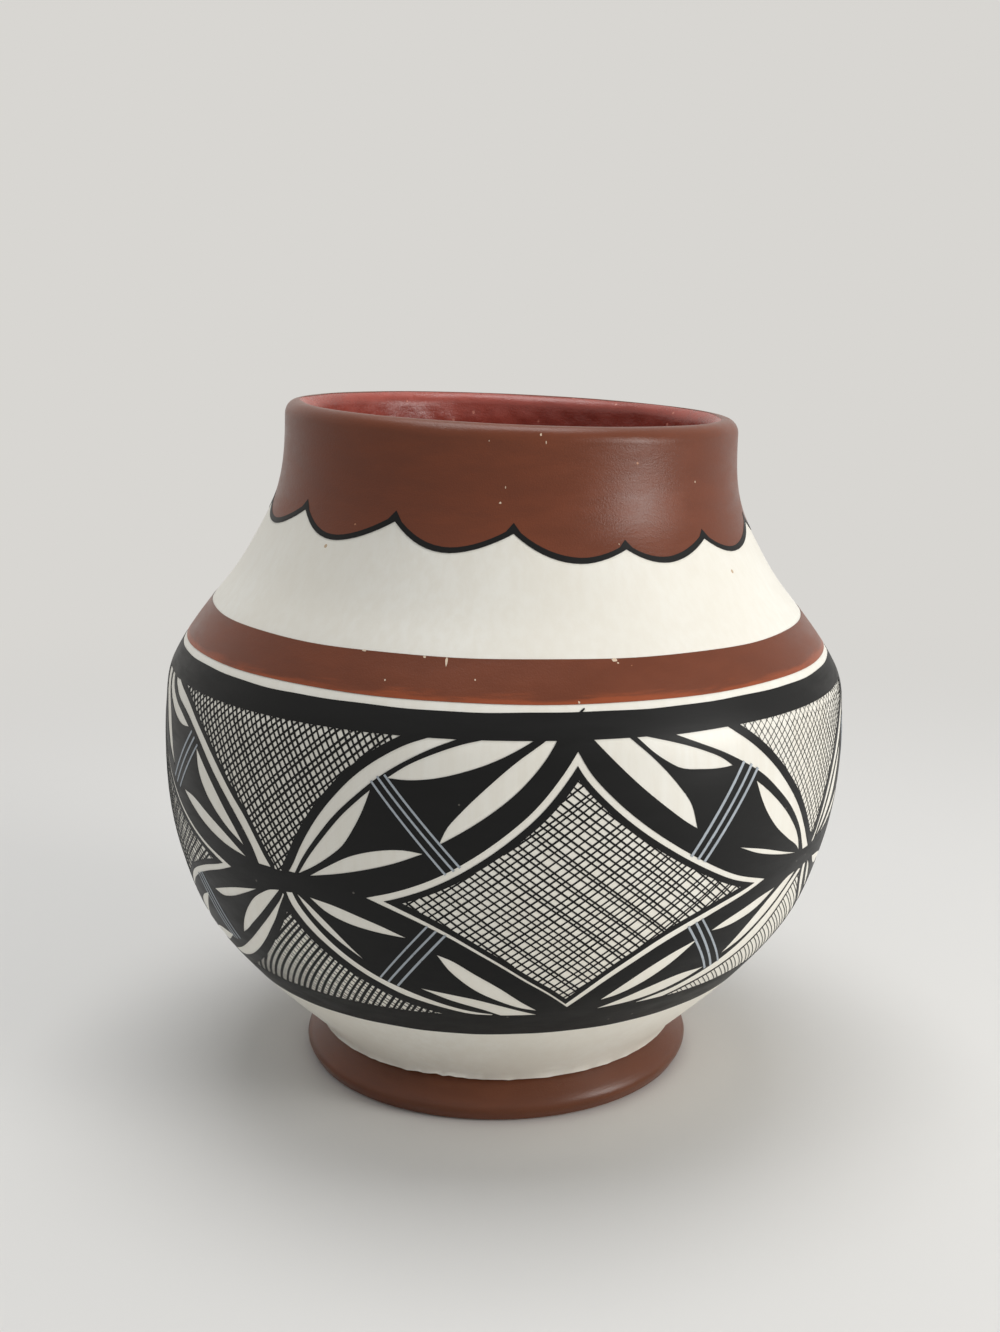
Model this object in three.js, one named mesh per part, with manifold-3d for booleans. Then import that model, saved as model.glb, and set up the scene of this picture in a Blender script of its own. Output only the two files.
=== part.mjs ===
// A hand-coiled pottery vase with a painted belly, about 200 mm tall and 206 mm across.
// Millimetres and degrees, +Z up, the front at -Y. The origin is on the floor under the middle of the belly.
// The clay is a foot ring, a base disc and coils laid one on another. Over it lie thin coats of coloured slip.

import * as THREE from 'three';
import { mergeVertices } from 'three/addons/utils/BufferGeometryUtils.js';
import Module from 'manifold-3d';

// Heights of the painted zones, stacked from the floor up
const FOOT_HEIGHT = 11.3;
const LOWER_WHITE_BAND = 25.2;
const LOWER_BLACK_BAND = 8.2;
const PANEL_HEIGHT = 80.4;
const UPPER_BLACK_BAND = 6.4;
const WHITE_LINE = 1.9;
const SHOULDER_BAND = 9.8;
const SHOULDER_SLOPE = 19.9;
const NECK_TURN = 8.9;
const NECK_HEIGHT = 22;

// Where the belly's curve turns, each as a rise above the turn below it
const BOWL_RISE = 15.5;
const LOWER_BELLY_RISE = 20;
const BELLY_RISE = 30;

// Radius of the finished outside at its widest, and how far the wall draws in from each turn to the next,
// down to the foot and up to the rim
const BELLY_RADIUS = 102.8;
const LOWER_BELLY_IN = 3.9;
const BOWL_IN = 7.7;
const LOWER_BAND_IN = 11.9;
const FOOT_JOINT_IN = 25;
const PANEL_TOP_IN = 2.3;
const UPPER_BAND_IN = 3.5;
const SHOULDER_IN = 8.5;
const SLOPE_IN = 13.6;
const NECK_TURN_IN = 4.5;
const RIM_IN = 3.4;

// The foot's roll, past the joint with the body
const FOOT_OUT = 6;
const FOOT_BOTTOM_OUT = 4.3;
const FOOT_ROLL_HEIGHT = 3.6;

// Clay
const WALL = 6.2;
const BASE_THICKNESS = 8.7;
const FOOT_RING_WIDTH = 8.3;
const PLUG_HANG = 4.3;
const LIP_STRAIGHT = 2.9;
const PANEL_COILS = 3;
const RIM_COIL_BELOW_LIP = 12;

// Coats of slip: one coat, and the clearance under it
const COAT = 0.3;
const COAT_GAP = 0.3;
const FITTED_GAP = 0.3;
const MOUTH_COAT_DEPTH = 31;

// The collar's scalloped lower edge
const SCALLOPS = 14;
const SCALLOP_LOW_RISE = 3.4;
const SCALLOP_DEPTH = 5;
const SCALLOP_START_ANGLE = 1;
const SCALLOP_WANDER_ANGLE = 3.3;
const SCALLOP_LINE = 1.3;
const SCALLOP_STEPS = 5;

// The painted belly, four cells round the pot, each with a diamond in its middle
const CELLS = 4;
const CELL_MIDDLE_ANGLE = 12;
const PINCH_RISE = 37.4;
const PINCH_HEIGHT = 5.8;
const ARC_BORDER = 2;
const DIAMOND_END_GAP = 25;
const DIAMOND_LOW_GAP = 2.6;
const DIAMOND_TOP_GAP = 3.1;
const DIAMOND_TOP_SAG = 6.3;
const DIAMOND_LOW_SAG = 3.7;
const DIAMOND_LINE = 1.5;
const DIAMOND_FRAME = 1.8;

// The hand's own lean: the pot leans to one side, and its upper half tips a little the same way
const LEAN_ANGLE = 1.34;
const TIP_START_HEIGHT = 75;
const TIP_RISE = 125;
const TIP_ANGLE = 2.5;

// Round pieces have this many sides, and rings of points at least this far apart
const SIDES = 36;
const LEAST_STEP = 1;

const radians = THREE.MathUtils.degToRad;

// Heights of the zone borders
const BASE_TOP = FOOT_HEIGHT + BASE_THICKNESS;
const BLACK_BOTTOM = FOOT_HEIGHT + LOWER_WHITE_BAND;
const PANEL_BOTTOM = BLACK_BOTTOM + LOWER_BLACK_BAND;
const PANEL_TOP = PANEL_BOTTOM + PANEL_HEIGHT;
const BLACK_TOP = PANEL_TOP + UPPER_BLACK_BAND;
const BAND_BOTTOM = BLACK_TOP + WHITE_LINE;
const BAND_TOP = BAND_BOTTOM + SHOULDER_BAND;
const NECK_FOOT = BAND_TOP + SHOULDER_SLOPE;
const NECK_BOTTOM = NECK_FOOT + NECK_TURN;
const NECK_TOP = NECK_BOTTOM + NECK_HEIGHT;
const RIM_SEAM = NECK_TOP - RIM_COIL_BELOW_LIP;
const BOWL = BLACK_BOTTOM + BOWL_RISE;
const LOWER_BELLY = BOWL + LOWER_BELLY_RISE;
const BELLY = LOWER_BELLY + BELLY_RISE;

// Radii at the turns
const LOWER_BELLY_RADIUS = BELLY_RADIUS - LOWER_BELLY_IN;
const BOWL_RADIUS = LOWER_BELLY_RADIUS - BOWL_IN;
const LOWER_BAND_RADIUS = BOWL_RADIUS - LOWER_BAND_IN;
const FOOT_JOINT_RADIUS = LOWER_BAND_RADIUS - FOOT_JOINT_IN;
const PANEL_TOP_RADIUS = BELLY_RADIUS - PANEL_TOP_IN;
const UPPER_BAND_RADIUS = PANEL_TOP_RADIUS - UPPER_BAND_IN;
const SHOULDER_RADIUS = UPPER_BAND_RADIUS - SHOULDER_IN;
const NECK_FOOT_RADIUS = SHOULDER_RADIUS - SLOPE_IN;
const NECK_RADIUS = NECK_FOOT_RADIUS - NECK_TURN_IN;
const RIM_RADIUS = NECK_RADIUS - RIM_IN;
const FOOT_BORE_RADIUS = FOOT_JOINT_RADIUS - FOOT_RING_WIDTH;

// The finished outside of the foot and of the body, as [height, radius] where their curves turn
const FOOT_OUTLINE = [
  [0, FOOT_JOINT_RADIUS + FOOT_BOTTOM_OUT],
  [FOOT_ROLL_HEIGHT, FOOT_JOINT_RADIUS + FOOT_OUT],
  [FOOT_HEIGHT, FOOT_JOINT_RADIUS],
];
const BODY_OUTLINE = [
  [FOOT_HEIGHT, FOOT_JOINT_RADIUS],
  [BLACK_BOTTOM, LOWER_BAND_RADIUS],
  [BOWL, BOWL_RADIUS],
  [LOWER_BELLY, LOWER_BELLY_RADIUS],
  [BELLY, BELLY_RADIUS],
  [PANEL_TOP, PANEL_TOP_RADIUS],
  [BLACK_TOP, UPPER_BAND_RADIUS],
  [BAND_TOP, SHOULDER_RADIUS],
  [NECK_FOOT, NECK_FOOT_RADIUS],
  [NECK_BOTTOM, NECK_RADIUS],
  [NECK_TOP, RIM_RADIUS],
];

// An outline's slope where it turns, in mm of radius for each mm of height
function slopeAtTurn(outline, index) {
  const [height, radius] = outline[index];
  const [lowHeight, lowRadius] = outline[Math.max(index - 1, 0)];
  const [highHeight, highRadius] = outline[Math.min(index + 1, outline.length - 1)];
  const below = height - lowHeight;
  const above = highHeight - height;
  if (below === 0) return (highRadius - radius) / above;
  if (above === 0) return (radius - lowRadius) / below;
  return ((radius - lowRadius) / below * above + (highRadius - radius) / above * below) / (below + above);
}

// The stretch of an outline that a height is in, as its ends, its slopes there and the share passed
function stretchAt(height, outline) {
  const last = outline.length - 2;
  let index = 0;
  while (index < last && height > outline[index + 1][0]) index += 1;
  const [low, lowRadius] = outline[index];
  const [high, highRadius] = outline[index + 1];
  const span = high - low;
  return {
    span,
    lowRadius,
    step: highRadius - lowRadius,
    lowSlope: slopeAtTurn(outline, index),
    highSlope: slopeAtTurn(outline, index + 1),
    t: THREE.MathUtils.clamp((height - low) / span, 0, 1),
  };
}

// Radius of the finished outside at a height, on a smooth curve through the outline's turns
function radiusAt(height, outline = BODY_OUTLINE) {
  const { span, lowRadius, step, lowSlope, highSlope, t } = stretchAt(height, outline);
  const rise = t * (1 - t) * (1 - t) * span * lowSlope;
  const fall = t * t * (t - 1) * span * highSlope;
  return lowRadius + step * t * t * (3 - 2 * t) + rise + fall;
}

// How fast that radius grows with height
function slopeAt(height, outline) {
  const { span, step, lowSlope, highSlope, t } = stretchAt(height, outline);
  return 6 * t * (1 - t) * step / span + (1 - t) * (1 - 3 * t) * lowSlope + t * (3 * t - 2) * highSlope;
}

// Point [radius, height] at a depth under the finished outside, measured square to the wall
function under(height, depth, outline = BODY_OUTLINE) {
  return [radiusAt(height, outline) - depth * Math.hypot(1, slopeAt(height, outline)), height];
}

// Heights at which every wall and coat has a ring of points, so that they lie over each other
const COIL_SEAMS = [BASE_TOP, PANEL_BOTTOM];
for (let coil = 1; coil <= PANEL_COILS; coil += 1) {
  COIL_SEAMS.push(PANEL_BOTTOM + PANEL_HEIGHT * coil / PANEL_COILS);
}
COIL_SEAMS.push(BAND_TOP, NECK_FOOT, RIM_SEAM);
const STATIONS = [FOOT_HEIGHT, BLACK_BOTTOM, BLACK_TOP, BAND_BOTTOM, NECK_TOP];
for (let seam = 0; seam < COIL_SEAMS.length; seam += 1) {
  STATIONS.push(COIL_SEAMS[seam]);
  const next = COIL_SEAMS[seam + 1];
  if (next !== undefined && next !== BAND_TOP) STATIONS.push((COIL_SEAMS[seam] + next) / 2);
}
STATIONS.sort((a, b) => a - b);

function stationsBetween(bottom, top) {
  const inner = STATIONS.filter((height) => height > bottom + LEAST_STEP && height < top - LEAST_STEP);
  return [bottom, ...inner, top];
}

// A solid that goes round the pot: loopAt gives its section as [radius, height] points at an azimuth,
// up the outside and down the inside, with the same number of points all round
function ringSolid(loopAt, sides) {
  const loops = Array.from({ length: sides }, (_, side) => loopAt(360 * side / sides));
  const count = loops[0].length;
  const positions = [];
  const index = [];
  for (let side = 0; side < sides; side += 1) {
    const angle = radians(360 * side / sides);
    for (const [radius, height] of loops[side]) {
      positions.push(radius * Math.sin(angle), -radius * Math.cos(angle), height);
    }
    for (let point = 0; point < count; point += 1) {
      const here = side * count + point;
      const up = side * count + (point + 1) % count;
      const along = ((side + 1) % sides) * count + point;
      const alongUp = ((side + 1) % sides) * count + (point + 1) % count;
      index.push(here, along, up, along, alongUp, up);
    }
  }
  const geometry = new THREE.BufferGeometry();
  geometry.setAttribute('position', new THREE.Float32BufferAttribute(positions, 3));
  geometry.setIndex(index);
  return geometry;
}

// A ring of wall or coat between two heights and two depths
function wallRing(bottom, top, outerDepth, innerDepth) {
  const heights = stationsBetween(bottom, top);
  const outside = heights.map((height) => under(height, outerDepth));
  const inside = heights.map((height) => under(height, innerDepth)).reverse();
  return ringSolid(() => [...outside, ...inside], SIDES);
}

// A solid turned round the pot's axis, with its section running up the outside from the axis to the axis
function turnedSolid(section) {
  const geometry = new THREE.LatheGeometry(section.map(([radius, height]) => new THREE.Vector2(radius, height)), SIDES);
  return geometry.rotateX(Math.PI / 2);
}

// Depths of the layers under the finished outside
const PAINT_DEPTH = COAT;
const WHITE_TOP_DEPTH = PAINT_DEPTH + COAT_GAP;
const WHITE_DEPTH = WHITE_TOP_DEPTH + COAT;
const CLAY_DEPTH = WHITE_DEPTH + COAT_GAP;
const INSIDE_DEPTH = CLAY_DEPTH + WALL;
const FOOT_CLAY_DEPTH = COAT + COAT_GAP;

// Section of the foot's rounded outside at a depth, from one height up to another
function footFace(depth, bottom, top) {
  const steps = 5;
  const heights = Array.from({ length: steps + 1 }, (_, step) => FOOT_HEIGHT * step / steps);
  heights[0] = bottom;
  heights[steps] = top;
  return heights.map((height) => under(height, depth, FOOT_OUTLINE));
}

function footRing() {
  const outside = footFace(FOOT_CLAY_DEPTH, 0, FOOT_HEIGHT);
  return ringSolid(() => [...outside, [FOOT_BORE_RADIUS, FOOT_HEIGHT], [FOOT_BORE_RADIUS, 0]], SIDES);
}

function footSlip() {
  const outside = footFace(0, FITTED_GAP, FOOT_HEIGHT - FITTED_GAP);
  const inside = footFace(COAT, FITTED_GAP, FOOT_HEIGHT - FITTED_GAP).reverse();
  return ringSolid(() => [...outside, ...inside], SIDES);
}

// The disc lies on the foot ring, and its middle hangs into the ring's bore
function baseDisc() {
  const plugRadius = FOOT_BORE_RADIUS - FITTED_GAP;
  return turnedSolid([
    [0, FOOT_HEIGHT - PLUG_HANG],
    [plugRadius, FOOT_HEIGHT - PLUG_HANG],
    [plugRadius, FOOT_HEIGHT],
    under(FOOT_HEIGHT, CLAY_DEPTH),
    under(BASE_TOP, CLAY_DEPTH),
    [0, BASE_TOP],
  ]);
}

function wallCoil(bottom, top) {
  return wallRing(bottom, top, CLAY_DEPTH, INSIDE_DEPTH);
}

// Half a circle over the lip, from the outside to the inside, as [radius, height]
const LIP_ROUND = WALL / 2;
const LIP_MIDDLE = under(NECK_TOP, CLAY_DEPTH)[0] - LIP_ROUND;
const LIP_SPRING = NECK_TOP + LIP_STRAIGHT;
const LIP_STEPS = 5;
function overTheLip(round) {
  return Array.from({ length: LIP_STEPS + 1 }, (_, step) => {
    const angle = Math.PI * step / LIP_STEPS;
    return [LIP_MIDDLE + round * Math.cos(angle), LIP_SPRING + round * Math.sin(angle)];
  });
}

function rimCoil() {
  const heights = stationsBetween(RIM_SEAM, NECK_TOP);
  const outside = heights.map((height) => under(height, CLAY_DEPTH));
  const inside = heights.slice(0, -1).map((height) => under(height, INSIDE_DEPTH)).reverse();
  return ringSolid(() => [...outside, ...overTheLip(LIP_ROUND), ...inside], SIDES);
}

// The coat inside the mouth runs up the inner wall and over the lip
function mouthSlip() {
  const bottom = NECK_TOP - MOUTH_COAT_DEPTH;
  const heights = stationsBetween(bottom, NECK_TOP).slice(0, -1);
  const face = (gap) => [
    ...overTheLip(LIP_ROUND + gap),
    ...heights.map((height) => under(height, INSIDE_DEPTH + gap)).reverse(),
  ];
  const loop = [...face(COAT_GAP + COAT), ...face(COAT_GAP).reverse()];
  return ringSolid(() => loop, SIDES);
}

// Height of the collar's scalloped edge; the lobes are spaced by eye, so their spacing wanders
function scallopEdge(azimuth) {
  const pitch = 360 / SCALLOPS;
  const lobe = Math.floor(azimuth / pitch);
  const t = azimuth / pitch - lobe;
  return NECK_FOOT + SCALLOP_LOW_RISE + SCALLOP_DEPTH * Math.pow(Math.abs(2 * t - 1), 1.8);
}

function scallopAzimuth(azimuth) {
  return azimuth + SCALLOP_START_ANGLE - SCALLOP_WANDER_ANGLE * (1 - Math.cos(radians(2 * azimuth)));
}

// A coat whose rings of points follow the scallops; heightsAt gives its heights at an evenly spaced azimuth
function scallopedCoat(heightsAt) {
  const sides = SCALLOPS * SCALLOP_STEPS;
  const geometry = ringSolid((azimuth) => {
    const heights = heightsAt(azimuth);
    const outside = heights.map((height) => under(height, 0));
    const inside = heights.map((height) => under(height, COAT)).reverse();
    return [...outside, ...inside];
  }, sides);
  const position = geometry.getAttribute('position');
  for (let vertex = 0; vertex < position.count; vertex += 1) {
    const radius = Math.hypot(position.getX(vertex), position.getY(vertex));
    const even = THREE.MathUtils.radToDeg(Math.atan2(position.getX(vertex), -position.getY(vertex)));
    const angle = radians(scallopAzimuth(even));
    position.setX(vertex, radius * Math.sin(angle));
    position.setY(vertex, -radius * Math.cos(angle));
  }
  return geometry;
}

function collarLine() {
  return scallopedCoat((azimuth) => [scallopEdge(azimuth), scallopEdge(azimuth) + SCALLOP_LINE]);
}

function collarSlip() {
  return scallopedCoat((azimuth) => [
    scallopEdge(azimuth) + SCALLOP_LINE + FITTED_GAP,
    RIM_SEAM,
    NECK_TOP,
    LIP_SPRING,
  ]);
}

// Painted outlines are lists of [mm round the belly from a cell's middle, height]
const HALF_CELL = Math.PI * BELLY_RADIUS / CELLS;
const PINCH = PANEL_BOTTOM + PINCH_RISE;
const PINCH_TOP = PINCH + PINCH_HEIGHT / 2;
const PINCH_BOTTOM = PINCH - PINCH_HEIGHT / 2;

// Points in the upper and lower half of a cell: shares of the half cell's width and of the half's height
const upper = ([across, up]) => [across * HALF_CELL, PINCH_TOP + (PANEL_TOP - PINCH_TOP) * up];
const lower = ([across, down]) => [across * HALF_CELL, PINCH_BOTTOM - (PINCH_BOTTOM - PANEL_BOTTOM) * down];
const mirrored = (outline) => outline.map(([across, height]) => [-across, height]).reverse();

// A stroke from one point to another that bows to its left by so many mm
function bow([startX, startY], [endX, endY], sag, steps) {
  const length = Math.hypot(endX - startX, endY - startY);
  return Array.from({ length: steps + 1 }, (_, step) => {
    const t = step / steps;
    const push = 4 * t * (1 - t) * sag / length;
    return [
      startX + (endX - startX) * t - (endY - startY) * push,
      startY + (endY - startY) * t + (endX - startX) * push,
    ];
  });
}

// A pointed leaf: a stroke out to the tip and a stroke back, with their bows as shares of its length
function leaf(base, tip, leftShare, rightShare) {
  const steps = 3;
  const length = Math.hypot(tip[0] - base[0], tip[1] - base[1]);
  const out = bow(base, tip, leftShare * length, steps);
  const back = bow(tip, base, rightShare * length, steps);
  return [...out, ...back.slice(1, -1)];
}

// A curve from the first point to the last that is pulled towards the middle one
function pulled([x0, y0], [x1, y1], [x2, y2]) {
  const steps = 5;
  return Array.from({ length: steps + 1 }, (_, step) => {
    const t = step / steps;
    const [start, middle, end] = [(1 - t) * (1 - t), 2 * t * (1 - t), t * t];
    return [start * x0 + middle * x1 + end * x2, start * y0 + middle * y1 + end * y2];
  });
}

// A closed outline, turned if need be so that it runs with its inside on the left
function insideOnLeft(outline) {
  const contour = outline.map(([x, y]) => new THREE.Vector2(x, y));
  return THREE.ShapeUtils.isClockWise(contour) ? outline.toReversed() : outline;
}

// Such an outline moved inwards by so many mm
function movedIn(outline, distance) {
  return outline.map(([x, y], point) => {
    const [lastX, lastY] = outline[(point + outline.length - 1) % outline.length];
    const [nextX, nextY] = outline[(point + 1) % outline.length];
    const before = Math.atan2(y - lastY, x - lastX);
    const after = Math.atan2(nextY - y, nextX - x);
    const half = Math.atan2(Math.sin(after - before), Math.cos(after - before)) / 2;
    const reach = distance / Math.cos(half);
    return [x - reach * Math.sin(before + half), y + reach * Math.cos(before + half)];
  });
}

// Edges of the white arcs in the left half of a cell, from the pinch outwards
const UPPER_ARC_OUTSIDE = pulled(upper([-0.972, 0.01]), upper([-0.806, 0.75]), upper([-0.487, 1.03]));
const UPPER_ARC_INSIDE = pulled(upper([-0.951, 0.01]), upper([-0.745, 0.71]), upper([-0.404, 1.03]));
const LOWER_ARC_OUTSIDE = pulled(lower([-0.972, 0.01]), lower([-0.862, 0.68]), lower([-0.362, 1.03]));
const LOWER_ARC_INSIDE = pulled(lower([-0.951, 0.01]), lower([-0.821, 0.67]), lower([-0.298, 1.03]));

// The white strokes and leaves in the left half of a cell
function leftReserves() {
  return [
    [...UPPER_ARC_INSIDE, ...UPPER_ARC_OUTSIDE.toReversed()],
    leaf(upper([-0.921, 0.01]), upper([-0.662, 0.65]), 0.03, 0.11),
    leaf(upper([-0.877, 0.01]), upper([-0.5, 0.26]), 0.09, 0.02),
    leaf(upper([-0.596, 0.74]), upper([-0.17, 1.02]), 0.1, 0.08),
    leaf(upper([-0.451, 0.32]), upper([-0.085, 1.06]), 0.05, 0.08),
    [...LOWER_ARC_OUTSIDE, ...LOWER_ARC_INSIDE.toReversed()],
    leaf(lower([-0.93, 0.02]), lower([-0.717, 0.5]), 0.05, 0.04),
    leaf(lower([-0.894, 0.02]), lower([-0.562, 0.24]), 0.03, 0.09),
    leaf(lower([-0.464, 0.36]), lower([-0.119, 0.94]), 0.04, 0.08),
    leaf(lower([-0.543, 0.71]), lower([-0.119, 0.98]), 0.02, 0.05),
  ];
}

// The fields of hatching above and below the pinch on a cell's right, each bounded by the arcs beside it
function hatchedFields() {
  const beside = ([across, height]) => [Math.min(-across + ARC_BORDER, HALF_CELL), height];
  const facing = ([across, height]) => [2 * HALF_CELL - across, height];
  const upperSide = UPPER_ARC_OUTSIDE.slice(1).map(beside);
  const lowerSide = LOWER_ARC_OUTSIDE.slice(1).map(beside);
  const upperTip = [HALF_CELL, upperSide[0][1] - PINCH_HEIGHT];
  const lowerTip = [HALF_CELL, lowerSide[0][1] + PINCH_HEIGHT];
  return [
    [upperTip, ...upperSide.map(facing), ...upperSide.toReversed()],
    [lowerTip, ...lowerSide, ...lowerSide.map(facing).toReversed()],
  ];
}

// The outer edge of the white line round the diamond
function diamond() {
  const steps = 5;
  const left = [DIAMOND_END_GAP - HALF_CELL, PINCH];
  const right = [HALF_CELL - DIAMOND_END_GAP, PINCH];
  const top = [0, PANEL_TOP - DIAMOND_TOP_GAP];
  const bottom = [0, PANEL_BOTTOM + DIAMOND_LOW_GAP];
  return [
    ...bow(bottom, right, DIAMOND_LOW_SAG, steps).slice(0, -1),
    ...bow(right, top, DIAMOND_TOP_SAG, steps).slice(0, -1),
    ...bow(top, left, DIAMOND_TOP_SAG, steps).slice(0, -1),
    ...bow(left, bottom, DIAMOND_LOW_SAG, steps).slice(0, -1),
  ];
}

const wasm = await Module();
wasm.setup();

function toSolid(geometry) {
  const bare = geometry.clone();
  bare.deleteAttribute('normal');
  bare.deleteAttribute('uv');
  const merged = mergeVertices(bare, 1e-4);
  const mesh = new wasm.Mesh({
    numProp: 3,
    vertProperties: new Float32Array(merged.getAttribute('position').array),
    triVerts: new Uint32Array(merged.getIndex().array),
  });
  return new wasm.Manifold(mesh);
}

function toGeometry(solid) {
  const finest = 0.01;
  const mesh = solid.asOriginal().simplify(finest).getMesh();
  const geometry = new THREE.BufferGeometry();
  geometry.setAttribute('position', new THREE.BufferAttribute(Float32Array.from(mesh.vertProperties), 3));
  geometry.setIndex(new THREE.BufferAttribute(Uint32Array.from(mesh.triVerts), 1));
  return geometry;
}

// The wedge that an outline sweeps as it grows from the pot's middle, for one cell; it passes through
// the outline drawn on the finished outside
const WEDGE_START = 0.7;
const WEDGE_END = 1.7;
function wedge(outline, cell) {
  const count = outline.length;
  const positions = [];
  for (const scale of [WEDGE_END, WEDGE_START]) {
    for (const [across, height] of outline) {
      const azimuth = radians(CELL_MIDDLE_ANGLE + 360 * cell / CELLS) + across / BELLY_RADIUS;
      const radius = radiusAt(height) * scale;
      positions.push(radius * Math.sin(azimuth), -radius * Math.cos(azimuth), PINCH + (height - PINCH) * scale);
    }
  }
  const index = [];
  const contour = outline.map(([across, height]) => new THREE.Vector2(across, height));
  for (const [a, b, c] of THREE.ShapeUtils.triangulateShape(contour, [])) {
    index.push(a, b, c, count + a, count + c, count + b);
  }
  for (let point = 0; point < count; point += 1) {
    const next = (point + 1) % count;
    index.push(point, count + point, next, next, count + point, count + next);
  }
  const geometry = new THREE.BufferGeometry();
  geometry.setAttribute('position', new THREE.Float32BufferAttribute(positions, 3));
  geometry.setIndex(index);
  return toSolid(geometry);
}

// Black paint over the belly: both bands and the ground of the pattern, with the white left open
function blackPaint() {
  let paint = toSolid(wallRing(BLACK_BOTTOM, BLACK_TOP, 0, PAINT_DEPTH));
  const panel = toSolid(ringSolid(() => [
    [BELLY_RADIUS * WEDGE_END, PANEL_BOTTOM],
    [BELLY_RADIUS * WEDGE_END, PANEL_TOP],
    [BELLY_RADIUS * WEDGE_START, PANEL_TOP],
    [BELLY_RADIUS * WEDGE_START, PANEL_BOTTOM],
  ], SIDES));
  const left = leftReserves().map(insideOnLeft);
  const outlines = [...left, ...left.map(mirrored), ...hatchedFields().map(insideOnLeft), diamond()];
  for (let cell = 0; cell < CELLS; cell += 1) {
    for (const outline of outlines) {
      paint = paint.subtract(wedge(outline, cell).intersect(panel));
    }
  }
  return toGeometry(paint);
}

// The black frame inside one diamond's white line
function diamondFrame(cell) {
  const coat = toSolid(wallRing(PANEL_BOTTOM, PANEL_TOP, 0, PAINT_DEPTH));
  const outside = wedge(movedIn(diamond(), DIAMOND_LINE), cell);
  const inside = wedge(movedIn(diamond(), DIAMOND_LINE + DIAMOND_FRAME), cell);
  return toGeometry(coat.intersect(outside).subtract(inside));
}

// Lean and tip a finished piece as the hand-built pot does
function handmade(geometry) {
  const lean = Math.tan(radians(LEAN_ANGLE));
  const tip = Math.tan(radians(TIP_ANGLE)) / TIP_RISE;
  const position = geometry.getAttribute('position');
  for (let vertex = 0; vertex < position.count; vertex += 1) {
    const x = position.getX(vertex);
    const z = position.getZ(vertex);
    position.setX(vertex, x + lean * (z - BELLY));
    position.setZ(vertex, z - tip * Math.max(0, z - TIP_START_HEIGHT) * x);
  }
  return geometry;
}

const CLAY = new THREE.MeshStandardMaterial({ color: 0xa4583a, roughness: 0.8, metalness: 0 });
const WHITE = new THREE.MeshStandardMaterial({ color: 0xe9e1cd, roughness: 0.5, metalness: 0 });
const BROWN = new THREE.MeshStandardMaterial({ color: 0x7a3a22, roughness: 0.4, metalness: 0 });
const BLACK = new THREE.MeshStandardMaterial({ color: 0x121213, roughness: 0.35, metalness: 0 });
const RED = new THREE.MeshStandardMaterial({ color: 0x9a4338, roughness: 0.3, metalness: 0 });

const vase = new THREE.Group();
vase.name = 'pueblo_pottery_vase';

function addPiece(name, geometry, material) {
  const mesh = new THREE.Mesh(handmade(geometry), material);
  mesh.name = name;
  vase.add(mesh);
}

const COIL_NAMES = [
  'bowl_coil',
  'lower_belly_coil',
  'belly_coil',
  'upper_belly_coil',
  'shoulder_coil',
  'slope_coil',
  'neck_coil',
];

addPiece('foot_ring', footRing(), CLAY);
addPiece('base_disc', baseDisc(), CLAY);
COIL_NAMES.forEach((name, coil) => {
  addPiece(name, wallCoil(COIL_SEAMS[coil], COIL_SEAMS[coil + 1]), CLAY);
});
addPiece('rim_coil', rimCoil(), CLAY);

addPiece('foot_slip', footSlip(), BROWN);
addPiece('white_slip', wallRing(FOOT_HEIGHT, NECK_TOP, WHITE_TOP_DEPTH, WHITE_DEPTH), WHITE);
addPiece('mouth_slip', mouthSlip(), RED);
addPiece('collar_slip', collarSlip(), BROWN);
addPiece('collar_line', collarLine(), BLACK);
addPiece('shoulder_band', wallRing(BAND_BOTTOM, BAND_TOP, 0, PAINT_DEPTH), BROWN);
addPiece('black_paint', blackPaint(), BLACK);
for (let cell = 0; cell < CELLS; cell += 1) {
  addPiece(`diamond_frame_${cell + 1}`, diamondFrame(cell), BLACK);
}

export default vase;
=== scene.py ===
# %% [markdown]
# # Dressing a hand-painted pottery vase
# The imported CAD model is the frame: it has the vase's real size and every coil and coat as a closed solid.
# This script builds the fine visual pieces round it. Each cell makes one piece or one finish.

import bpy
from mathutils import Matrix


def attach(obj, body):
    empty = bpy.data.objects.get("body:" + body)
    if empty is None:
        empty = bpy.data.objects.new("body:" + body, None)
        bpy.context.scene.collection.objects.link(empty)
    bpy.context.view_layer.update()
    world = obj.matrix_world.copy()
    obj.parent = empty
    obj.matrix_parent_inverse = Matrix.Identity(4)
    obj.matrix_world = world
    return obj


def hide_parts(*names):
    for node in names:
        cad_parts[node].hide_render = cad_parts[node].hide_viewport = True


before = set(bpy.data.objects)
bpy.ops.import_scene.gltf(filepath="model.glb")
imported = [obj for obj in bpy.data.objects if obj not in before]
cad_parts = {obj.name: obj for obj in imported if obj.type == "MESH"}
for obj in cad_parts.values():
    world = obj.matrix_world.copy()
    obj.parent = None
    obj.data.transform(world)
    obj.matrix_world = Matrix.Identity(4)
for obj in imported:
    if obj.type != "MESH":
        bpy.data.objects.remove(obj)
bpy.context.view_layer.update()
print("CAD nodes:", len(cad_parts))

# %% What the script works with
import math
import random

import bpy
import numpy as np

MM = 0.001


def select_nothing():
    """Deselect every object, so that an operator acts on none of them."""
    bpy.ops.object.select_all(action="DESELECT")


def only(piece):
    """Select one piece alone."""
    select_nothing()
    piece.select_set(True)
    bpy.context.view_layer.objects.active = piece


def placed(name, data):
    """A new object in the scene."""
    thing = bpy.data.objects.new(name, data)
    bpy.context.collection.objects.link(thing)
    return thing


select_nothing()
print("selected:", len(bpy.context.selected_objects))

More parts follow.
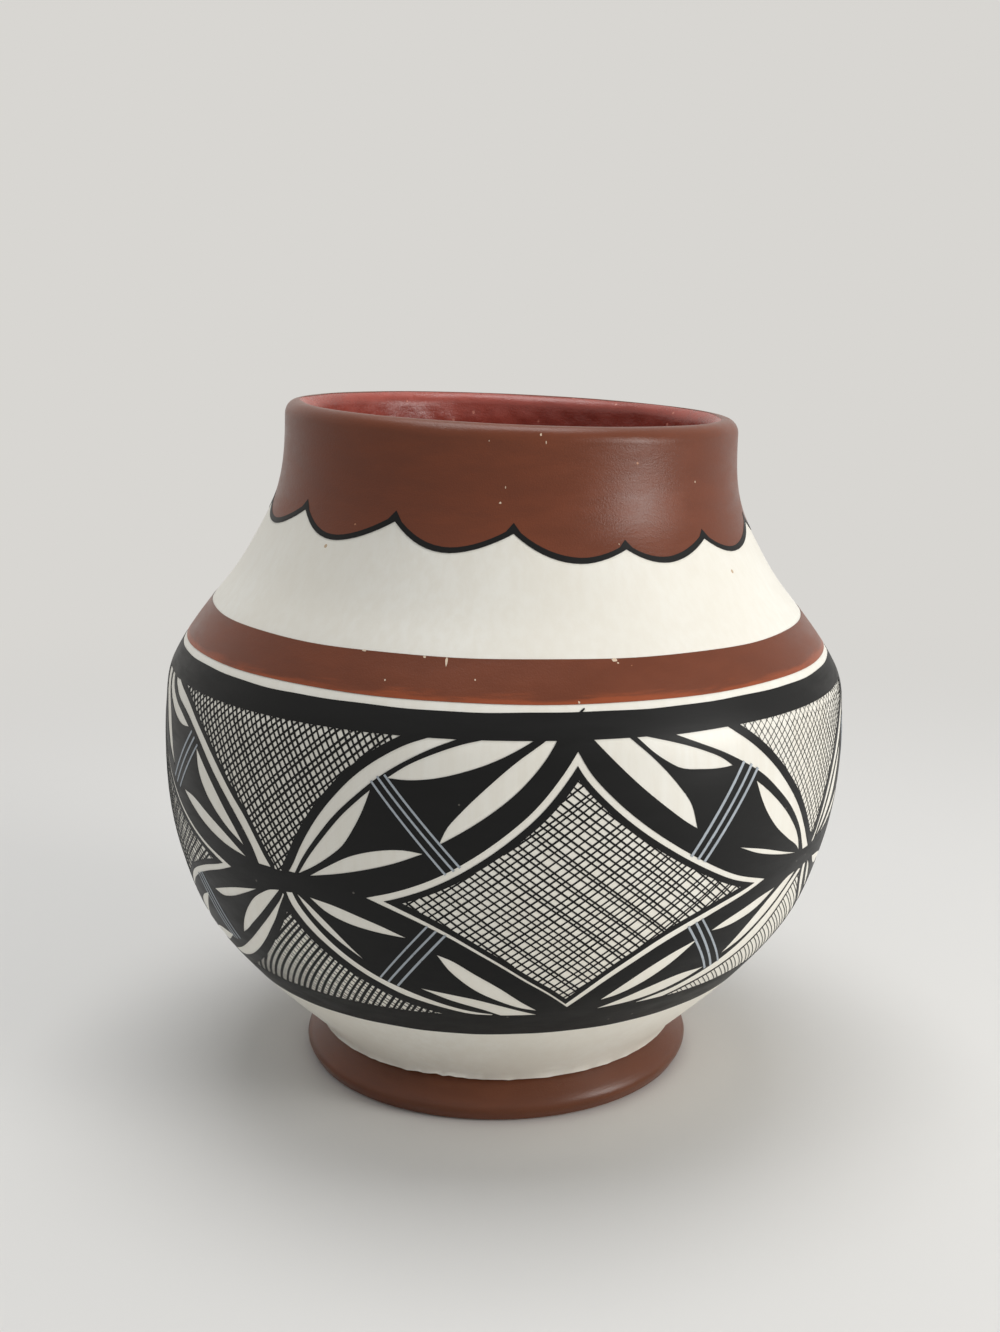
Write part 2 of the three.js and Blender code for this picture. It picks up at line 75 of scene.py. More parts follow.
# %% [markdown]
# ## The outline
# The pot is not a true turned shape: a potter built it by hand, and it leans. Its outline is kept as a short
# list of turns, each a height and a radius in mm, joined by a smooth curve. One walk follows the finished
# surface up the outside, over the rounded lip and down the inside. Every piece is placed by that walk, an
# angle round the pot and a lift off the surface, so all the coats lie on each other.

# %% The turns of the outline and the smooth curve through them
FOOT_TURNS = ((0, 58.6), (3.6, 60.3), (11.3, 54.3))
BODY_TURNS = (
    (11.3, 54.3), (36.5, 79.3), (52, 91.2), (72, 98.9), (102, 102.8), (113.4, 102.4), (125.1, 100.5),
    (131.5, 97), (143.2, 88.5), (152, 81.6), (163.1, 74.9), (172, 70.4), (194, 67), (196.6, 67),
)
FOOT_JOINT = 11.3
BELLY = 102.8
WALL = 8
LIP_SPRING = 196.6
LIP_MIDDLE = 63
LIP_ROUND = 4
LIP_END = LIP_SPRING + math.pi * LIP_ROUND
COVE = 1.8
COVE_HEIGHT = 1.3


def through(knots, values, at):
    """A smooth curve through values at rising knots, read at other places."""
    knots = np.asarray(knots, float)
    values = np.asarray(values, float)
    spans = np.diff(knots)
    grades = np.diff(values) / spans
    slopes = np.concatenate([grades[:1], grades])
    slopes[1:-1] = (grades[:-1] * spans[1:] + grades[1:] * spans[:-1]) / (spans[:-1] + spans[1:])
    index = np.clip(np.searchsorted(knots, at, side="right") - 1, 0, len(spans) - 1)
    span = spans[index]
    t = np.clip((at - knots[index]) / span, 0, 1)
    level = values[index] * (1 - t) ** 2 * (1 + 2 * t) + values[index + 1] * t ** 2 * (3 - 2 * t)
    return level + span * (slopes[index] * t * (1 - t) ** 2 - slopes[index + 1] * t ** 2 * (1 - t))


print("halfway up the foot:", through(*np.array(FOOT_TURNS).T, np.array([FOOT_JOINT / 2])).round(1), "mm")


# %% The finished surface as a walk
def outside_radius(height):
    """Radius of the finished outside; the white slip rolls outwards onto the foot at its lower edge."""
    turns = np.array(BODY_TURNS, float).T
    roll = COVE * np.exp(-((height - FOOT_JOINT) / COVE_HEIGHT) ** 2)
    return through(turns[0], turns[1], height) + roll


def section(walk, lift):
    """Radius and height of a point that is lifted off the surface at a walk along it."""
    step = 0.05
    inside = walk > LIP_END
    over = (walk > LIP_SPRING) & ~inside
    height = np.where(inside, LIP_SPRING - (walk - LIP_END), np.minimum(walk, LIP_SPRING))
    low = np.maximum(height - step, FOOT_JOINT)
    high = np.minimum(height + step, LIP_SPRING)
    slope = (outside_radius(high) - outside_radius(low)) / (high - low)
    length = np.hypot(1, slope)
    radius = outside_radius(height) + lift / length
    level = height - lift * slope / length
    radius = np.where(inside, outside_radius(height) - (WALL + lift) * length, radius)
    level = np.where(inside, height, level)
    angle = np.clip((walk - LIP_SPRING) / LIP_ROUND, 0, math.pi)
    radius = np.where(over, LIP_MIDDLE + (LIP_ROUND + lift) * np.cos(angle), radius)
    level = np.where(over, LIP_SPRING + (LIP_ROUND + lift) * np.sin(angle), level)
    return radius, level


heights = np.array([11.3, 52.0, 102.0, 152.0, 194.0])
print("radii:", dict(zip(heights.tolist(), np.round(outside_radius(heights), 1).tolist())))

# %% [markdown]
# ## The hand in the shape
# The real pot leans 1.3 degrees to the right and its upper half tips a little further the same way. Its
# wall also has soft swells, where the potter's palm and scraper went round. They could be sculpted piece by
# piece, but then the coats would part from the clay. So they are one rule that every piece goes through.

# %% Lean, tip and swell
LEAN = math.tan(math.radians(1.34))
LEAN_PIVOT = 102
TIP = math.tan(math.radians(2.5)) / 125
TIP_START = 75


def swell(azimuth, walk):
    """Soft hand-made swells of the wall, and finger lumps inside the mouth, in mm."""
    soft = 0.16 * np.sin(3 * azimuth + 1.1 + walk / 37) * np.sin(walk / 19 + 0.6)
    soft += 0.1 * np.sin(5 * azimuth - 0.7 - walk / 23) * np.cos(walk / 13)
    lumps = 0.16 * np.sin(17 * azimuth + walk / 2.9) * np.sin(23 * azimuth - walk / 4.1 + 1.3) - 0.15
    lumps += 0.1 * np.sin(41 * azimuth + 2 * np.sin(walk / 3.3)) * np.sin(walk / 1.9)
    mouth = np.clip((walk - LIP_END) / 4, 0, 1)
    lip = 0.18 * np.sin(7 * azimuth + 0.4) + 0.12 * np.sin(12 * azimuth + 2)
    near_lip = np.clip((walk - LIP_SPRING) / 3, 0, 1) * np.clip((LIP_END - walk) / 3, 0, 1)
    return soft * (1 - mouth) + lumps * mouth + lip * near_lip


def leaned(x, y, z):
    """A point of the upright pot, moved as the hand-built one leans and tips."""
    across = x + LEAN * (z - LEAN_PIVOT)
    return np.stack([across, y, z - TIP * np.maximum(0, z - TIP_START) * x], -1)


def on_pot(azimuth, walk, lift):
    """Where a point of the flat drawing goes on the pot, in mm."""
    radius, height = section(walk, lift)
    radius = radius + swell(azimuth, walk)
    return leaned(radius * np.sin(azimuth), -radius * np.cos(azimuth), height)


def facing(azimuth, walk, lift):
    """The way the pot's skin faces there."""
    turn = 0.002
    step = 0.1
    across = on_pot(azimuth + turn, walk, lift) - on_pot(azimuth - turn, walk, lift)
    along = on_pot(azimuth, walk + step, lift) - on_pot(azimuth, walk - step, lift)
    normal = np.cross(across, along)
    return normal / np.linalg.norm(normal, axis=1, keepdims=True)


print("lip at the front:", np.round(on_pot(np.array([0.0]), np.array([LIP_SPRING + 6.28]), 0.0), 1))

# %% [markdown]
# ## Flat sheets wrapped round the pot
# Slip and paint are thin coats. A coat could be cut out of the pot with booleans, which leaves ragged
# slivers. Here it is drawn flat, as on paper: one unit is 1 mm, x runs round the belly and y is the walk.
# The sheet is cut into small cells, given its thickness, and rolled round the pot by moving its points.
# The pot's own curve sets how each point is shaded, so the cuts never show.

# %% Cut, thicken and wrap a flat sheet
CELLS_ROUND = 180
CELL_WIDTH = BELLY * math.radians(360 / CELLS_ROUND)
CELL_HEIGHT = 2.5
HALF_ROUND = BELLY * math.pi
WALL_ROWS = math.ceil((LIP_SPRING - FOOT_JOINT) / CELL_HEIGHT)
LIP_ROWS = 14
WALKS = [FOOT_JOINT + CELL_HEIGHT * row for row in range(WALL_ROWS)]
WALKS += [LIP_SPRING + math.pi * LIP_ROUND * row / LIP_ROWS for row in range(LIP_ROWS + 1)]


def cut_into_cells(piece):
    """Bisect a flat sheet along the cell lines, and trim it at the back seam."""
    only(piece)
    bpy.ops.object.mode_set(mode="EDIT")
    xs = [v.co.x for v in piece.data.vertices]
    ys = [v.co.y for v in piece.data.vertices]
    for side in (-1, 1):
        bpy.ops.mesh.select_all(action="SELECT")
        bpy.ops.mesh.bisect(plane_co=(side * HALF_ROUND, 0, 0), plane_no=(side, 0, 0), clear_outer=True)
    for step in range(1 - CELLS_ROUND // 2, CELLS_ROUND // 2):
        if min(xs) < step * CELL_WIDTH < max(xs):
            bpy.ops.mesh.select_all(action="SELECT")
            bpy.ops.mesh.bisect(plane_co=(step * CELL_WIDTH, 0, 0), plane_no=(1, 0, 0))
    for walk in WALKS:
        if min(ys) < walk < max(ys):
            bpy.ops.mesh.select_all(action="SELECT")
            bpy.ops.mesh.bisect(plane_co=(0, walk, 0), plane_no=(0, 1, 0))
    bpy.ops.object.mode_set(mode="OBJECT")


print("one cell is", round(CELL_WIDTH, 2), "mm wide and", CELL_HEIGHT, "mm high")


# %% Thicken a flat sheet and wrap it
def thicken(piece, lift, thickness):
    """Give a flat sheet its thickness, with its upper face at a lift off the finished surface."""
    only(piece)
    solid = piece.modifiers.new("thickness", "SOLIDIFY")
    solid.thickness = thickness
    solid.offset = -1
    bpy.ops.object.modifier_apply(modifier=solid.name)
    for vertex in piece.data.vertices:
        vertex.co.z += lift


def read_points(source, label):
    """The points of a mesh or of one of its attributes, as rows of x, y and z."""
    points = np.empty(len(source) * 3, np.float32)
    source.foreach_get(label, points)
    return points.reshape(-1, 3).astype(float)


def wrap(piece):
    """Roll a flat sheet round the pot, close its seam and shade it as the pot's skin."""
    mesh = piece.data
    flat = read_points(mesh.vertices, "co")
    drawing = mesh.attributes.new("drawing", "FLOAT_VECTOR", "POINT")
    drawing.data.foreach_set("vector", flat.ravel())
    places = on_pot(flat[:, 0] / BELLY, flat[:, 1], flat[:, 2]) * MM
    mesh.vertices.foreach_set("co", places.ravel())
    only(piece)
    bpy.ops.object.mode_set(mode="EDIT")
    bpy.ops.mesh.select_all(action="SELECT")
    bpy.ops.mesh.remove_doubles(threshold=2e-6)
    bpy.ops.object.mode_set(mode="OBJECT")
    flat = read_points(mesh.attributes["drawing"].data, "vector")
    normals = facing(flat[:, 0] / BELLY, flat[:, 1], flat[:, 2])
    middle = (flat[:, 2].min() + flat[:, 2].max()) / 2
    normals[flat[:, 2] < middle] *= -1
    mesh.shade_smooth()
    mesh.normals_split_custom_set_from_vertices(normals.tolist())
    mesh.attributes.remove(mesh.attributes["drawing"])
    print(f"{piece.name}: {len(mesh.polygons)} faces")
    return piece


# %% Two ways to get a flat sheet
def flat_sheet(name, low, high, rows):
    """A sheet all round the pot between two walks, as a grid."""
    select_nothing()
    bpy.ops.mesh.primitive_grid_add(x_subdivisions=CELLS_ROUND, y_subdivisions=rows, size=1)
    piece = bpy.context.object
    piece.name = name
    for vertex in piece.data.vertices:
        vertex.co.x *= 2 * HALF_ROUND
        vertex.co.y = low + (high - low) * (vertex.co.y + 0.5)
    return piece


def drawn(name, outlines):
    """A flat shape filled between closed outlines; an outline inside another is a hole."""
    curve = bpy.data.curves.new(name, "CURVE")
    curve.dimensions = "2D"
    curve.fill_mode = "BOTH"
    for outline in outlines:
        line = curve.splines.new("POLY")
        line.points.add(len(outline) - 1)
        for point, (x, y) in zip(line.points, outline):
            point.co = (x, y, 0, 1)
        line.use_cyclic_u = True
    piece = placed(name, curve)
    only(piece)
    bpy.ops.object.convert(target="MESH")
    return piece


# %% Paint a shape on the pot, and hand a finished piece over
PIECES = []


def painted(name, outlines, lift, thickness):
    """Draw a shape, cut it into cells, thicken it and wrap it."""
    piece = drawn(name, outlines)
    cut_into_cells(piece)
    thicken(piece, lift, thickness)
    return wrap(piece)


def keep(piece, slot, *nodes):
    """Let a finished piece ride on the vase's one body, and stand for its CAD nodes."""
    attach(piece, "root")
    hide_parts(*nodes)
    PIECES.append(piece)


# %% [markdown]
# ## The clay
# Under the slip is fired clay: a rolled foot ring, a floor and a wall of coils that were smoothed together.
# Each is a true ring, so its cut face is drawn as a loop of points and spun round the axis. A circle
# gives the loop, its points are pulled to the section, and Spin sweeps it. The joins between the coils are
# gone on a finished pot, so the wall is one piece here.

# %% A section spun round the axis
def spun(name, outline, hand=1.0):
    """Spin a closed section of (radius, height) points, and lean it as the pot leans."""
    select_nothing()
    bpy.ops.mesh.primitive_circle_add(vertices=len(outline), radius=1)
    piece = bpy.context.object
    piece.name = name
    for vertex, (radius, height) in zip(piece.data.vertices, outline):
        vertex.co = (0, -radius, height)
    bpy.ops.object.mode_set(mode="EDIT")
    bpy.ops.mesh.select_all(action="SELECT")
    bpy.ops.mesh.spin(steps=CELLS_ROUND, angle=2 * math.pi, center=(0, 0, 0), axis=(0, 0, 1))
    bpy.ops.mesh.select_all(action="SELECT")
    bpy.ops.mesh.remove_doubles(threshold=0.002)
    bpy.ops.mesh.delete_loose()
    bpy.ops.mesh.select_all(action="SELECT")
    bpy.ops.mesh.normals_make_consistent(inside=False)
    bpy.ops.object.mode_set(mode="OBJECT")
    points = read_points(piece.data.vertices, "co")
    azimuth = np.arctan2(points[:, 0], -points[:, 1])
    grown = 1 + hand * swell(azimuth, points[:, 2]) / np.maximum(np.hypot(points[:, 0], points[:, 1]), 20)
    places = leaned(points[:, 0] * grown, points[:, 1] * grown, points[:, 2]) * MM
    piece.data.vertices.foreach_set("co", places.ravel())
    only(piece)
    bpy.ops.object.shade_smooth_by_angle(angle=math.radians(40))
    print(f"{name}: {len(piece.data.polygons)} faces")
    return piece


def along(low, high, step, lift):
    """Section points between two walks at one lift, as (radius, height) pairs."""
    count = max(1, math.ceil(abs(high - low) / step))
    walks = np.linspace(low, high, count + 1)
    radius, height = section(walks, np.full(count + 1, float(lift)))
    return list(zip(radius.tolist(), height.tolist()))


# %% The wall, the floor and the foot ring
CLAY_LIFT = -0.6
BASE_TOP = 20
FOOT_BORE = 46
PLUG_BOTTOM = 7
BASE_WALK = LIP_END + LIP_SPRING - BASE_TOP
FOOT_ROWS = 12

wall_loop = along(BASE_TOP, LIP_SPRING, 3, CLAY_LIFT)
wall_loop += along(LIP_SPRING, LIP_END, 1, CLAY_LIFT)[1:]
wall_loop += along(LIP_END, BASE_WALK, 3, CLAY_LIFT)[1:]
keep(
    spun("clay_wall", wall_loop), "clay",
    "bowl_coil", "lower_belly_coil", "belly_coil", "upper_belly_coil", "shoulder_coil", "slope_coil",
    "neck_coil", "rim_coil",
)

disc_rim = along(FOOT_JOINT, BASE_TOP, 1.5, CLAY_LIFT)
floor_radius = along(BASE_WALK - 0.01, BASE_WALK, 1, CLAY_LIFT)[-1][0]
disc_loop = [(0, PLUG_BOTTOM), (30, PLUG_BOTTOM), (FOOT_BORE - 2, PLUG_BOTTOM)]
disc_loop += [(FOOT_BORE - 0.3, PLUG_BOTTOM + 1), (FOOT_BORE - 0.3, FOOT_JOINT)] + disc_rim
disc_loop += [(floor_radius, BASE_TOP), (floor_radius - 5, BASE_TOP - 0.5)]
disc_loop += [(30, BASE_TOP - 1.6), (0, BASE_TOP - 1.9)]
keep(spun("clay_floor", disc_loop), "clay", "base_disc")


def foot_face(low, high, lift):
    """Section points up the outside of the foot."""
    turns = np.array(FOOT_TURNS, float).T
    levels = np.linspace(low, high, FOOT_ROWS + 1)
    step = 0.05
    above, at, below = (through(turns[0], turns[1], levels + move) for move in (step, 0, -step))
    slope = (above - below) / (2 * step)
    slope[0], slope[-1] = slope[1], slope[-2]
    radius = at + lift * np.hypot(1, slope)
    return list(zip(radius.tolist(), levels.tolist()))


foot_loop = foot_face(0, FOOT_JOINT, -0.5)
foot_loop += [(FOOT_BORE, FOOT_JOINT), (FOOT_BORE, 2), (FOOT_BORE + 0.6, 0.6), (FOOT_BORE + 2, 0)]
keep(spun("clay_foot", foot_loop, 0.5), "clay", "foot_ring")

# %% [markdown]
# ## The foot's brown coat
# The foot is brushed brown on its outside only, down to where the vase stands. It is a thin ring with a
# rounded outer face, so it is spun too.

# %% The foot's coat
FOOT_COAT_BOTTOM = 0.25

coat_loop = foot_face(FOOT_COAT_BOTTOM, FOOT_JOINT - 0.05, 0.0)
coat_loop += foot_face(FOOT_COAT_BOTTOM, FOOT_JOINT - 0.05, -0.5)[::-1]
keep(spun("foot_coat", coat_loop, 0.5), "foot_slip", "foot_slip")

# %% [markdown]
# ## The white ground
# A white slip covers the whole outside and shows in the slope, the lower band and every unpainted leaf. Its
# lower edge is ragged where the brush lifted from the foot. It is a plain sheet, wrapped.

# %% The white coat
WHITE_LIFT = -0.12
WHITE_ROWS = 68
GROUND_COAT = 0.4

white = flat_sheet("white_coat", FOOT_JOINT, FOOT_JOINT + WHITE_ROWS * CELL_HEIGHT, WHITE_ROWS)
draw = random.Random(11)
for vertex in white.data.vertices:
    if vertex.co.y < FOOT_JOINT + 0.1:
        ragged = math.exp(-((math.degrees(vertex.co.x / BELLY) + 17) / 9) ** 2)
        vertex.co.y += draw.uniform(-0.1, 0.12) + ragged * draw.uniform(-0.25, 0.9)
thicken(white, WHITE_LIFT, GROUND_COAT)
keep(wrap(white), "white_slip", "white_slip")

# %% [markdown]
# ## The reddish mouth
# Inside the neck the slip is thick, red and shiny, with the dabs of the fingers left in it. It starts under
# the collar's edge on top of the lip and stops in a brushed edge some 3 cm down. The same wrapped sheet does
# it, because the walk goes on over the lip and down the inside.

# %% The mouth's coat
MOUTH_TOP = LIP_SPRING + math.pi * LIP_ROUND * 0.43
MOUTH_END = LIP_END + 31
MOUTH_LIFT = -0.06
MOUTH_ROWS = 34

mouth = flat_sheet("mouth_coat", MOUTH_TOP, MOUTH_END, MOUTH_ROWS)
for vertex in mouth.data.vertices:
    down = (vertex.co.y - MOUTH_TOP) / (MOUTH_END - MOUTH_TOP)
    angle = vertex.co.x / BELLY
    vertex.co.y += down ** 3 * (1.6 * math.sin(9 * angle) + 1.1 * math.sin(23 * angle + 1))
thicken(mouth, MOUTH_LIFT, GROUND_COAT)
keep(wrap(mouth), "mouth_slip", "mouth_slip")

# %% [markdown]
# ## The scalloped collar
# The neck is brushed brown down to fourteen hanging lobes, and a black line follows their edge. The lobes
# are shallow, steeper on their left, and no two are alike. The edge could be a row of arcs, but a hand
# draws it as one curve with cusps, so it is a function of the angle. The black line is the strip between
# that curve and the same curve moved up, and it swells into a small peak over each cusp.

# %% The lobes' edge
DEGREE = BELLY * math.radians(1)
LINE_WIDTH = 1.45
CUSP_PEAK = 1.0
CUSPS = [(-82.4, 172), (-54.2, 173.5), (-25.9, 174), (0.8, 172.8), (25.6, 168.9), (48.7, 170), (78, 171)]
CUSPS += [(78 + 24.95 * step, 171.8 + 1.2 * math.sin(2.4 * step)) for step in range(1, 8)]
LOBES = [(167.7, 0.5), (167.4, 0.45), (167.3, 0.48), (165.6, 0.59), (165, 0.43), (165.3, 0.39)]
LOBES += [(166.4 + 0.6 * math.sin(3.1 * step), 0.45 + 0.06 * math.cos(2.3 * step)) for step in range(8)]


def cusp(number):
    """Angle in degrees and height of a cusp, counted on round the pot."""
    angle, height = CUSPS[number % 14]
    return angle + 360 * (number // 14), height


def lobe_edge(steps=16):
    """The lower edge of the scallops and the upper edge of their black line, as flat points."""
    low_line = []
    top_line = []
    for number in range(-5, 11):
        left, left_height = cusp(number)
        right, right_height = cusp(number + 1)
        low, lowest = LOBES[number % 14]
        for step in range(steps):
            share = step / steps
            angle = left + (right - left) * share
            falling = share < lowest
            side = (lowest - share) / lowest if falling else (share - lowest) / (1 - lowest)
            power = 2.1 if falling else 1.7
            end = left_height if falling else right_height
            height = low + (end - low) * side ** power
            slope = power * (end - low) * side ** (power - 1) / ((right - left) * DEGREE * 0.5)
            nearest = min(share, 1 - share) * (right - left) * DEGREE
            width = LINE_WIDTH * math.hypot(1, slope) + CUSP_PEAK * math.exp(-(nearest / 1.5) ** 2)
            width += 0.12 * math.sin(11 * math.radians(angle))
            low_line.append((angle * DEGREE, height))
            top_line.append((angle * DEGREE, height + width))
    return low_line, top_line


edge_low, edge_top = lobe_edge()
print(len(edge_low), "edge points; lobes hang to", round(min(y for x, y in edge_low), 1), "mm")

# %% The collar's coat and its brush line
COLLAR_TOP = LIP_SPRING + math.pi * LIP_ROUND * 0.56
PAINT_COAT = 0.14
LINE_LIFT = 0.06
LINE_COAT = 0.2

under_line = [(x, (low + top) / 2) for (x, low), (_, top) in zip(edge_low, edge_top)]
rim = []
for x, y in under_line:
    rim.append((x, COLLAR_TOP + 0.3 * math.sin(5 * x / BELLY) + 0.25 * math.sin(13 * x / BELLY)))
collar = painted("collar_coat", [under_line + rim[::-1]], 0, PAINT_COAT)
keep(collar, "brown_slip", "collar_slip")
line = painted("collar_brush_line", [edge_low + edge_top[::-1]], LINE_LIFT, LINE_COAT)
keep(line, "black_slip", "collar_line")

# %% [markdown]
# ## The band on the shoulder
# One brown band runs round the shoulder, laid with a loaded brush while the pot turned. Its edges waver by
# a tenth or two of a millimetre.

# %% The shoulder's coat
BAND_LOW = 133.4
BAND_HIGH = 143.2
BAND_ROWS = 4

shoulder = flat_sheet("shoulder_coat", BAND_LOW, BAND_HIGH, BAND_ROWS)
for vertex in shoulder.data.vertices:
    angle = vertex.co.x / BELLY
    wave = 0.14 * math.sin(4 * angle + 1) + 0.07 * math.sin(13 * angle)
    vertex.co.y += wave * (vertex.co.y > BAND_HIGH - 0.1) - wave * 0.7 * (vertex.co.y < BAND_LOW + 0.1)
thicken(shoulder, 0, PAINT_COAT)
keep(wrap(shoulder), "brown_slip", "shoulder_band")

# %% [markdown]
# ## The painted belly, as a drawing
# Four cells go round the belly. Each has a hatched diamond, a curved bar in every corner, sixteen leaves
# and four bundles of fine lines, and hatched fields lie between the cells. The white parts are bare slip:
# the painter fills the black round them. A picture on the surface would blur close up, so one black sheet
# is drawn with a hole for each white part. The front cell's brush points are given as angle and height, and
# both sides of a leaf start at its first point. The other three cells are the same strokes, stretched to
# their own width and bent a little.

# %% The diamond's brush points
CELL_MIDDLE = 12
CELL_HALF = 47
PANEL_BOTTOM = 44.8
PANEL_TOP = 125.1

DIAMOND_SIDES = (
    ((-20.4, 81.4), (-16, 83.9), (-10, 88.5), (-4, 95.1), (0, 100.6), (4, 107.1), (8, 115.9), (10.4, 122.4)),
    ((10.4, 122.4), (12, 117.5), (16, 109.4), (20, 103), (26, 95.1), (32, 88.4), (38, 82.8), (45.8, 78)),
    ((45.8, 78), (42, 75.8), (36, 72.8), (30, 69), (26, 65.8), (22, 61.7), (18, 56.9), (14, 50.8),
     (12, 47.4)),
    ((12, 47.4), (8, 53.1), (4, 58), (0, 63), (-4, 67.6), (-8, 71.9), (-12, 75.5), (-16, 78.5),
     (-20.4, 81.4)),
)
WHITE_LINES = ((1.9, 1.9, 1.9), (1.85, 1.6, 1.4), (1.5, 2.05, 1.7), (0.6, 0.85, 1.5))
FRAME_LINES = ((1.6, 1.8, 2.4), (1.7, 1.7, 1.6), (1.6, 1.6, 1.6), (1.3, 1.4, 2.0))
print("the belly's pattern is", round(PANEL_TOP - PANEL_BOTTOM, 1), "mm high")

# %% The bars' brush points
BARS = {
    "upper left": (
        ((-33.8, 84.8), (-33, 86.8), (-31, 93.2), (-28, 101.5), (-25, 108.2), (-22, 113.8), (-18, 119.3),
         (-14, 123.3), (-11.2, 125.1)),
        ((-32.6, 84.8), (-31, 89.4), (-28, 96.6), (-25, 103.1), (-22, 108.4), (-18, 114.6), (-14, 119.3),
         (-10, 123), (-7, 125.1)),
    ),
    "upper right": (
        ((59, 81.6), (58, 83.6), (56, 88.4), (52, 98.1), (48, 106.1), (44, 113.3), (40, 119.2),
         (35.2, 125.1)),
        ((56.7, 81.6), (56, 83.5), (54, 89.3), (50, 98), (46, 104.6), (42, 110.5), (38, 114.9), (34, 118.7),
         (30, 121.8), (25.7, 124.9)),
    ),
    "lower left": (
        ((-34.9, 78.5), (-34.5, 76.3), (-33, 72.1), (-31, 68.2), (-28, 63.8), (-24, 58.7), (-20, 54.6),
         (-16, 51.1), (-12, 48.7), (-8, 46.7), (-5, 45.5), (-1.2, 45.1)),
        ((-33.6, 78.8), (-33, 76.6), (-31, 71.8), (-28, 66.4), (-24, 61), (-20, 56.8), (-16, 53.6),
         (-12, 50.7), (-8, 48.2), (-4, 46.4), (-0.9, 45.6)),
    ),
    "lower right": (
        ((58.6, 74.6), (56.3, 70), (52, 62), (48, 56.6), (44, 52.8), (40, 49.9), (36, 47.6), (31.5, 45.1)),
        ((57.3, 75.2), (55.6, 73.2), (52, 67.7), (48, 62.4), (44, 57.5), (40, 53.7), (36, 50.7), (32, 48.1),
         (28, 46.5), (25, 45.1)),
    ),
}
print(len(BARS), "bars in a cell")

# %% The leaves' brush points
LEAVES = (
    (((-31.9, 84.9), (-30, 89.7), (-27, 96.5), (-24, 102.9), (-21, 108.2), (-19.4, 110.8)),
     ((-29, 87.8), (-26, 91.6), (-24, 94.7), (-22, 100), (-20, 107.6), (-19.4, 110.8))),
    (((-29.8, 84.9), (-26, 89.1), (-23, 92.1), (-19, 94.6), (-14, 95.8), (-11.4, 95.3)),
     ((-25, 86.9), (-20, 89.4), (-16, 91.8), (-11.4, 95.3))),
    (((-16.9, 114.3), (-14, 117.9), (-10, 121.4), (-6, 124), (-3.4, 125.1)),
     ((-14, 114.2), (-10, 115.1), (-6, 117), (-2, 119.6), (2, 123.1), (4, 125.1))),
    (((-9.1, 98), (-8, 102.4), (-6, 106.8), (-2, 114.1), (2, 120.4), (5.8, 125.1)),
     ((-6, 101.4), (-2, 106.4), (2, 112.5), (6, 121.1), (7.4, 125.1))),
    (((55.2, 82), (54, 84), (50, 88.6), (46, 94.1), (44, 98), (42, 103.4), (40.6, 109)),
     ((54, 86.3), (50, 94.9), (46, 101.5), (42, 107.2), (40.6, 109))),
    (((54.3, 81.9), (48, 84.4), (42, 87.7), (38.1, 90.8)),
     ((50, 84.3), (44, 87.9), (38.1, 90.8))),
    (((35.6, 114.7), (34, 116.8), (30, 120.2), (26, 122.7), (21, 125.1)),
     ((34, 114.6), (30, 115.1), (26, 116.4), (24, 118.4), (22, 120.9), (19.4, 125.1))),
    (((29.4, 99.1), (28, 100.7), (24, 106.2), (20, 112.3), (16, 119.2), (12.8, 125.1)),
     ((28, 106.5), (26, 111.4), (22, 119.2), (18.3, 125.1))),
    (((-32.8, 79), (-31, 76.7), (-28, 72.1), (-26, 68.7), (-24, 65.2), (-21.8, 61.6)),
     ((-32, 76.8), (-30, 72.5), (-28, 69.2), (-24, 64.1), (-21.8, 61.6))),
    (((-30.3, 78.6), (-26, 77.5), (-22, 75.6), (-18, 73.3), (-14.3, 70.6)),
     ((-28, 75.6), (-24, 72.9), (-20, 71.6), (-14.3, 70.6))),
    (((-9.8, 66.2), (-8, 65), (-4, 60.5), (0, 55.8), (4, 50.2), (6.8, 46.7)),
     ((-8, 61.4), (-6, 57.8), (-4, 54.9), (0, 50.9), (4, 47.9), (6.8, 46.7))),
    (((-13.3, 54.6), (-8, 53), (-4, 51.5), (0, 49.3), (4, 46.8), (7, 45)),
     ((-8, 50.6), (-4, 48.2), (-2, 46.9), (0.4, 45))),
    (((17.6, 48.9), (20, 52.4), (24, 57.6), (28, 61.5), (33.5, 65.1)),
     ((20, 49.8), (24, 52.8), (28, 57.2), (33.5, 65.1))),
    (((17.4, 45.3), (22, 48.2), (26, 50.8), (32, 53.5), (37.7, 53.7)),
     ((24, 46.2), (28, 47.4), (34, 50.7), (37.7, 53.7))),
    (((40.3, 56.5), (42, 59.6), (46, 66.2), (50, 71.6), (53, 74.6), (56, 75.4)),
     ((44, 59.1), (48, 63.5), (52, 68.8), (54.5, 72.7), (56, 75.4))),
    (((35.6, 66.4), (38, 68.2), (42, 70.4), (46, 72.4), (50, 73.5)),
     ((38, 66.2), (42, 67.1), (46, 69.2), (50, 73.5))),
)
print(len(LEAVES), "leaves in a cell")

# %% The pale lines' brush points
FINE_LINES = (
    (0.55, ((-19.3, 113.2), (-8.1, 90)), ((-18.4, 114.5), (-6.9, 91.1)), ((-17.3, 115.1), (-6, 92.1))),
    (0.8, ((37.9, 115.2), (28.7, 91.4)), ((39.5, 114), (30, 90.2)), ((40.8, 112.6), (31.2, 89.1))),
    (0.6, ((-11, 74.9), (-19.7, 56.8)), ((-9.7, 73.6), (-18.4, 55.7)), ((-8.3, 72.5), (-16.9, 54.6))),
    (0.65, ((30.5, 69.8), (38, 52.9)), ((31.9, 70.5), (39.3, 53.2)), ((33, 71.2), (40.8, 54))),
)
print(len(FINE_LINES), "bundles in a cell")

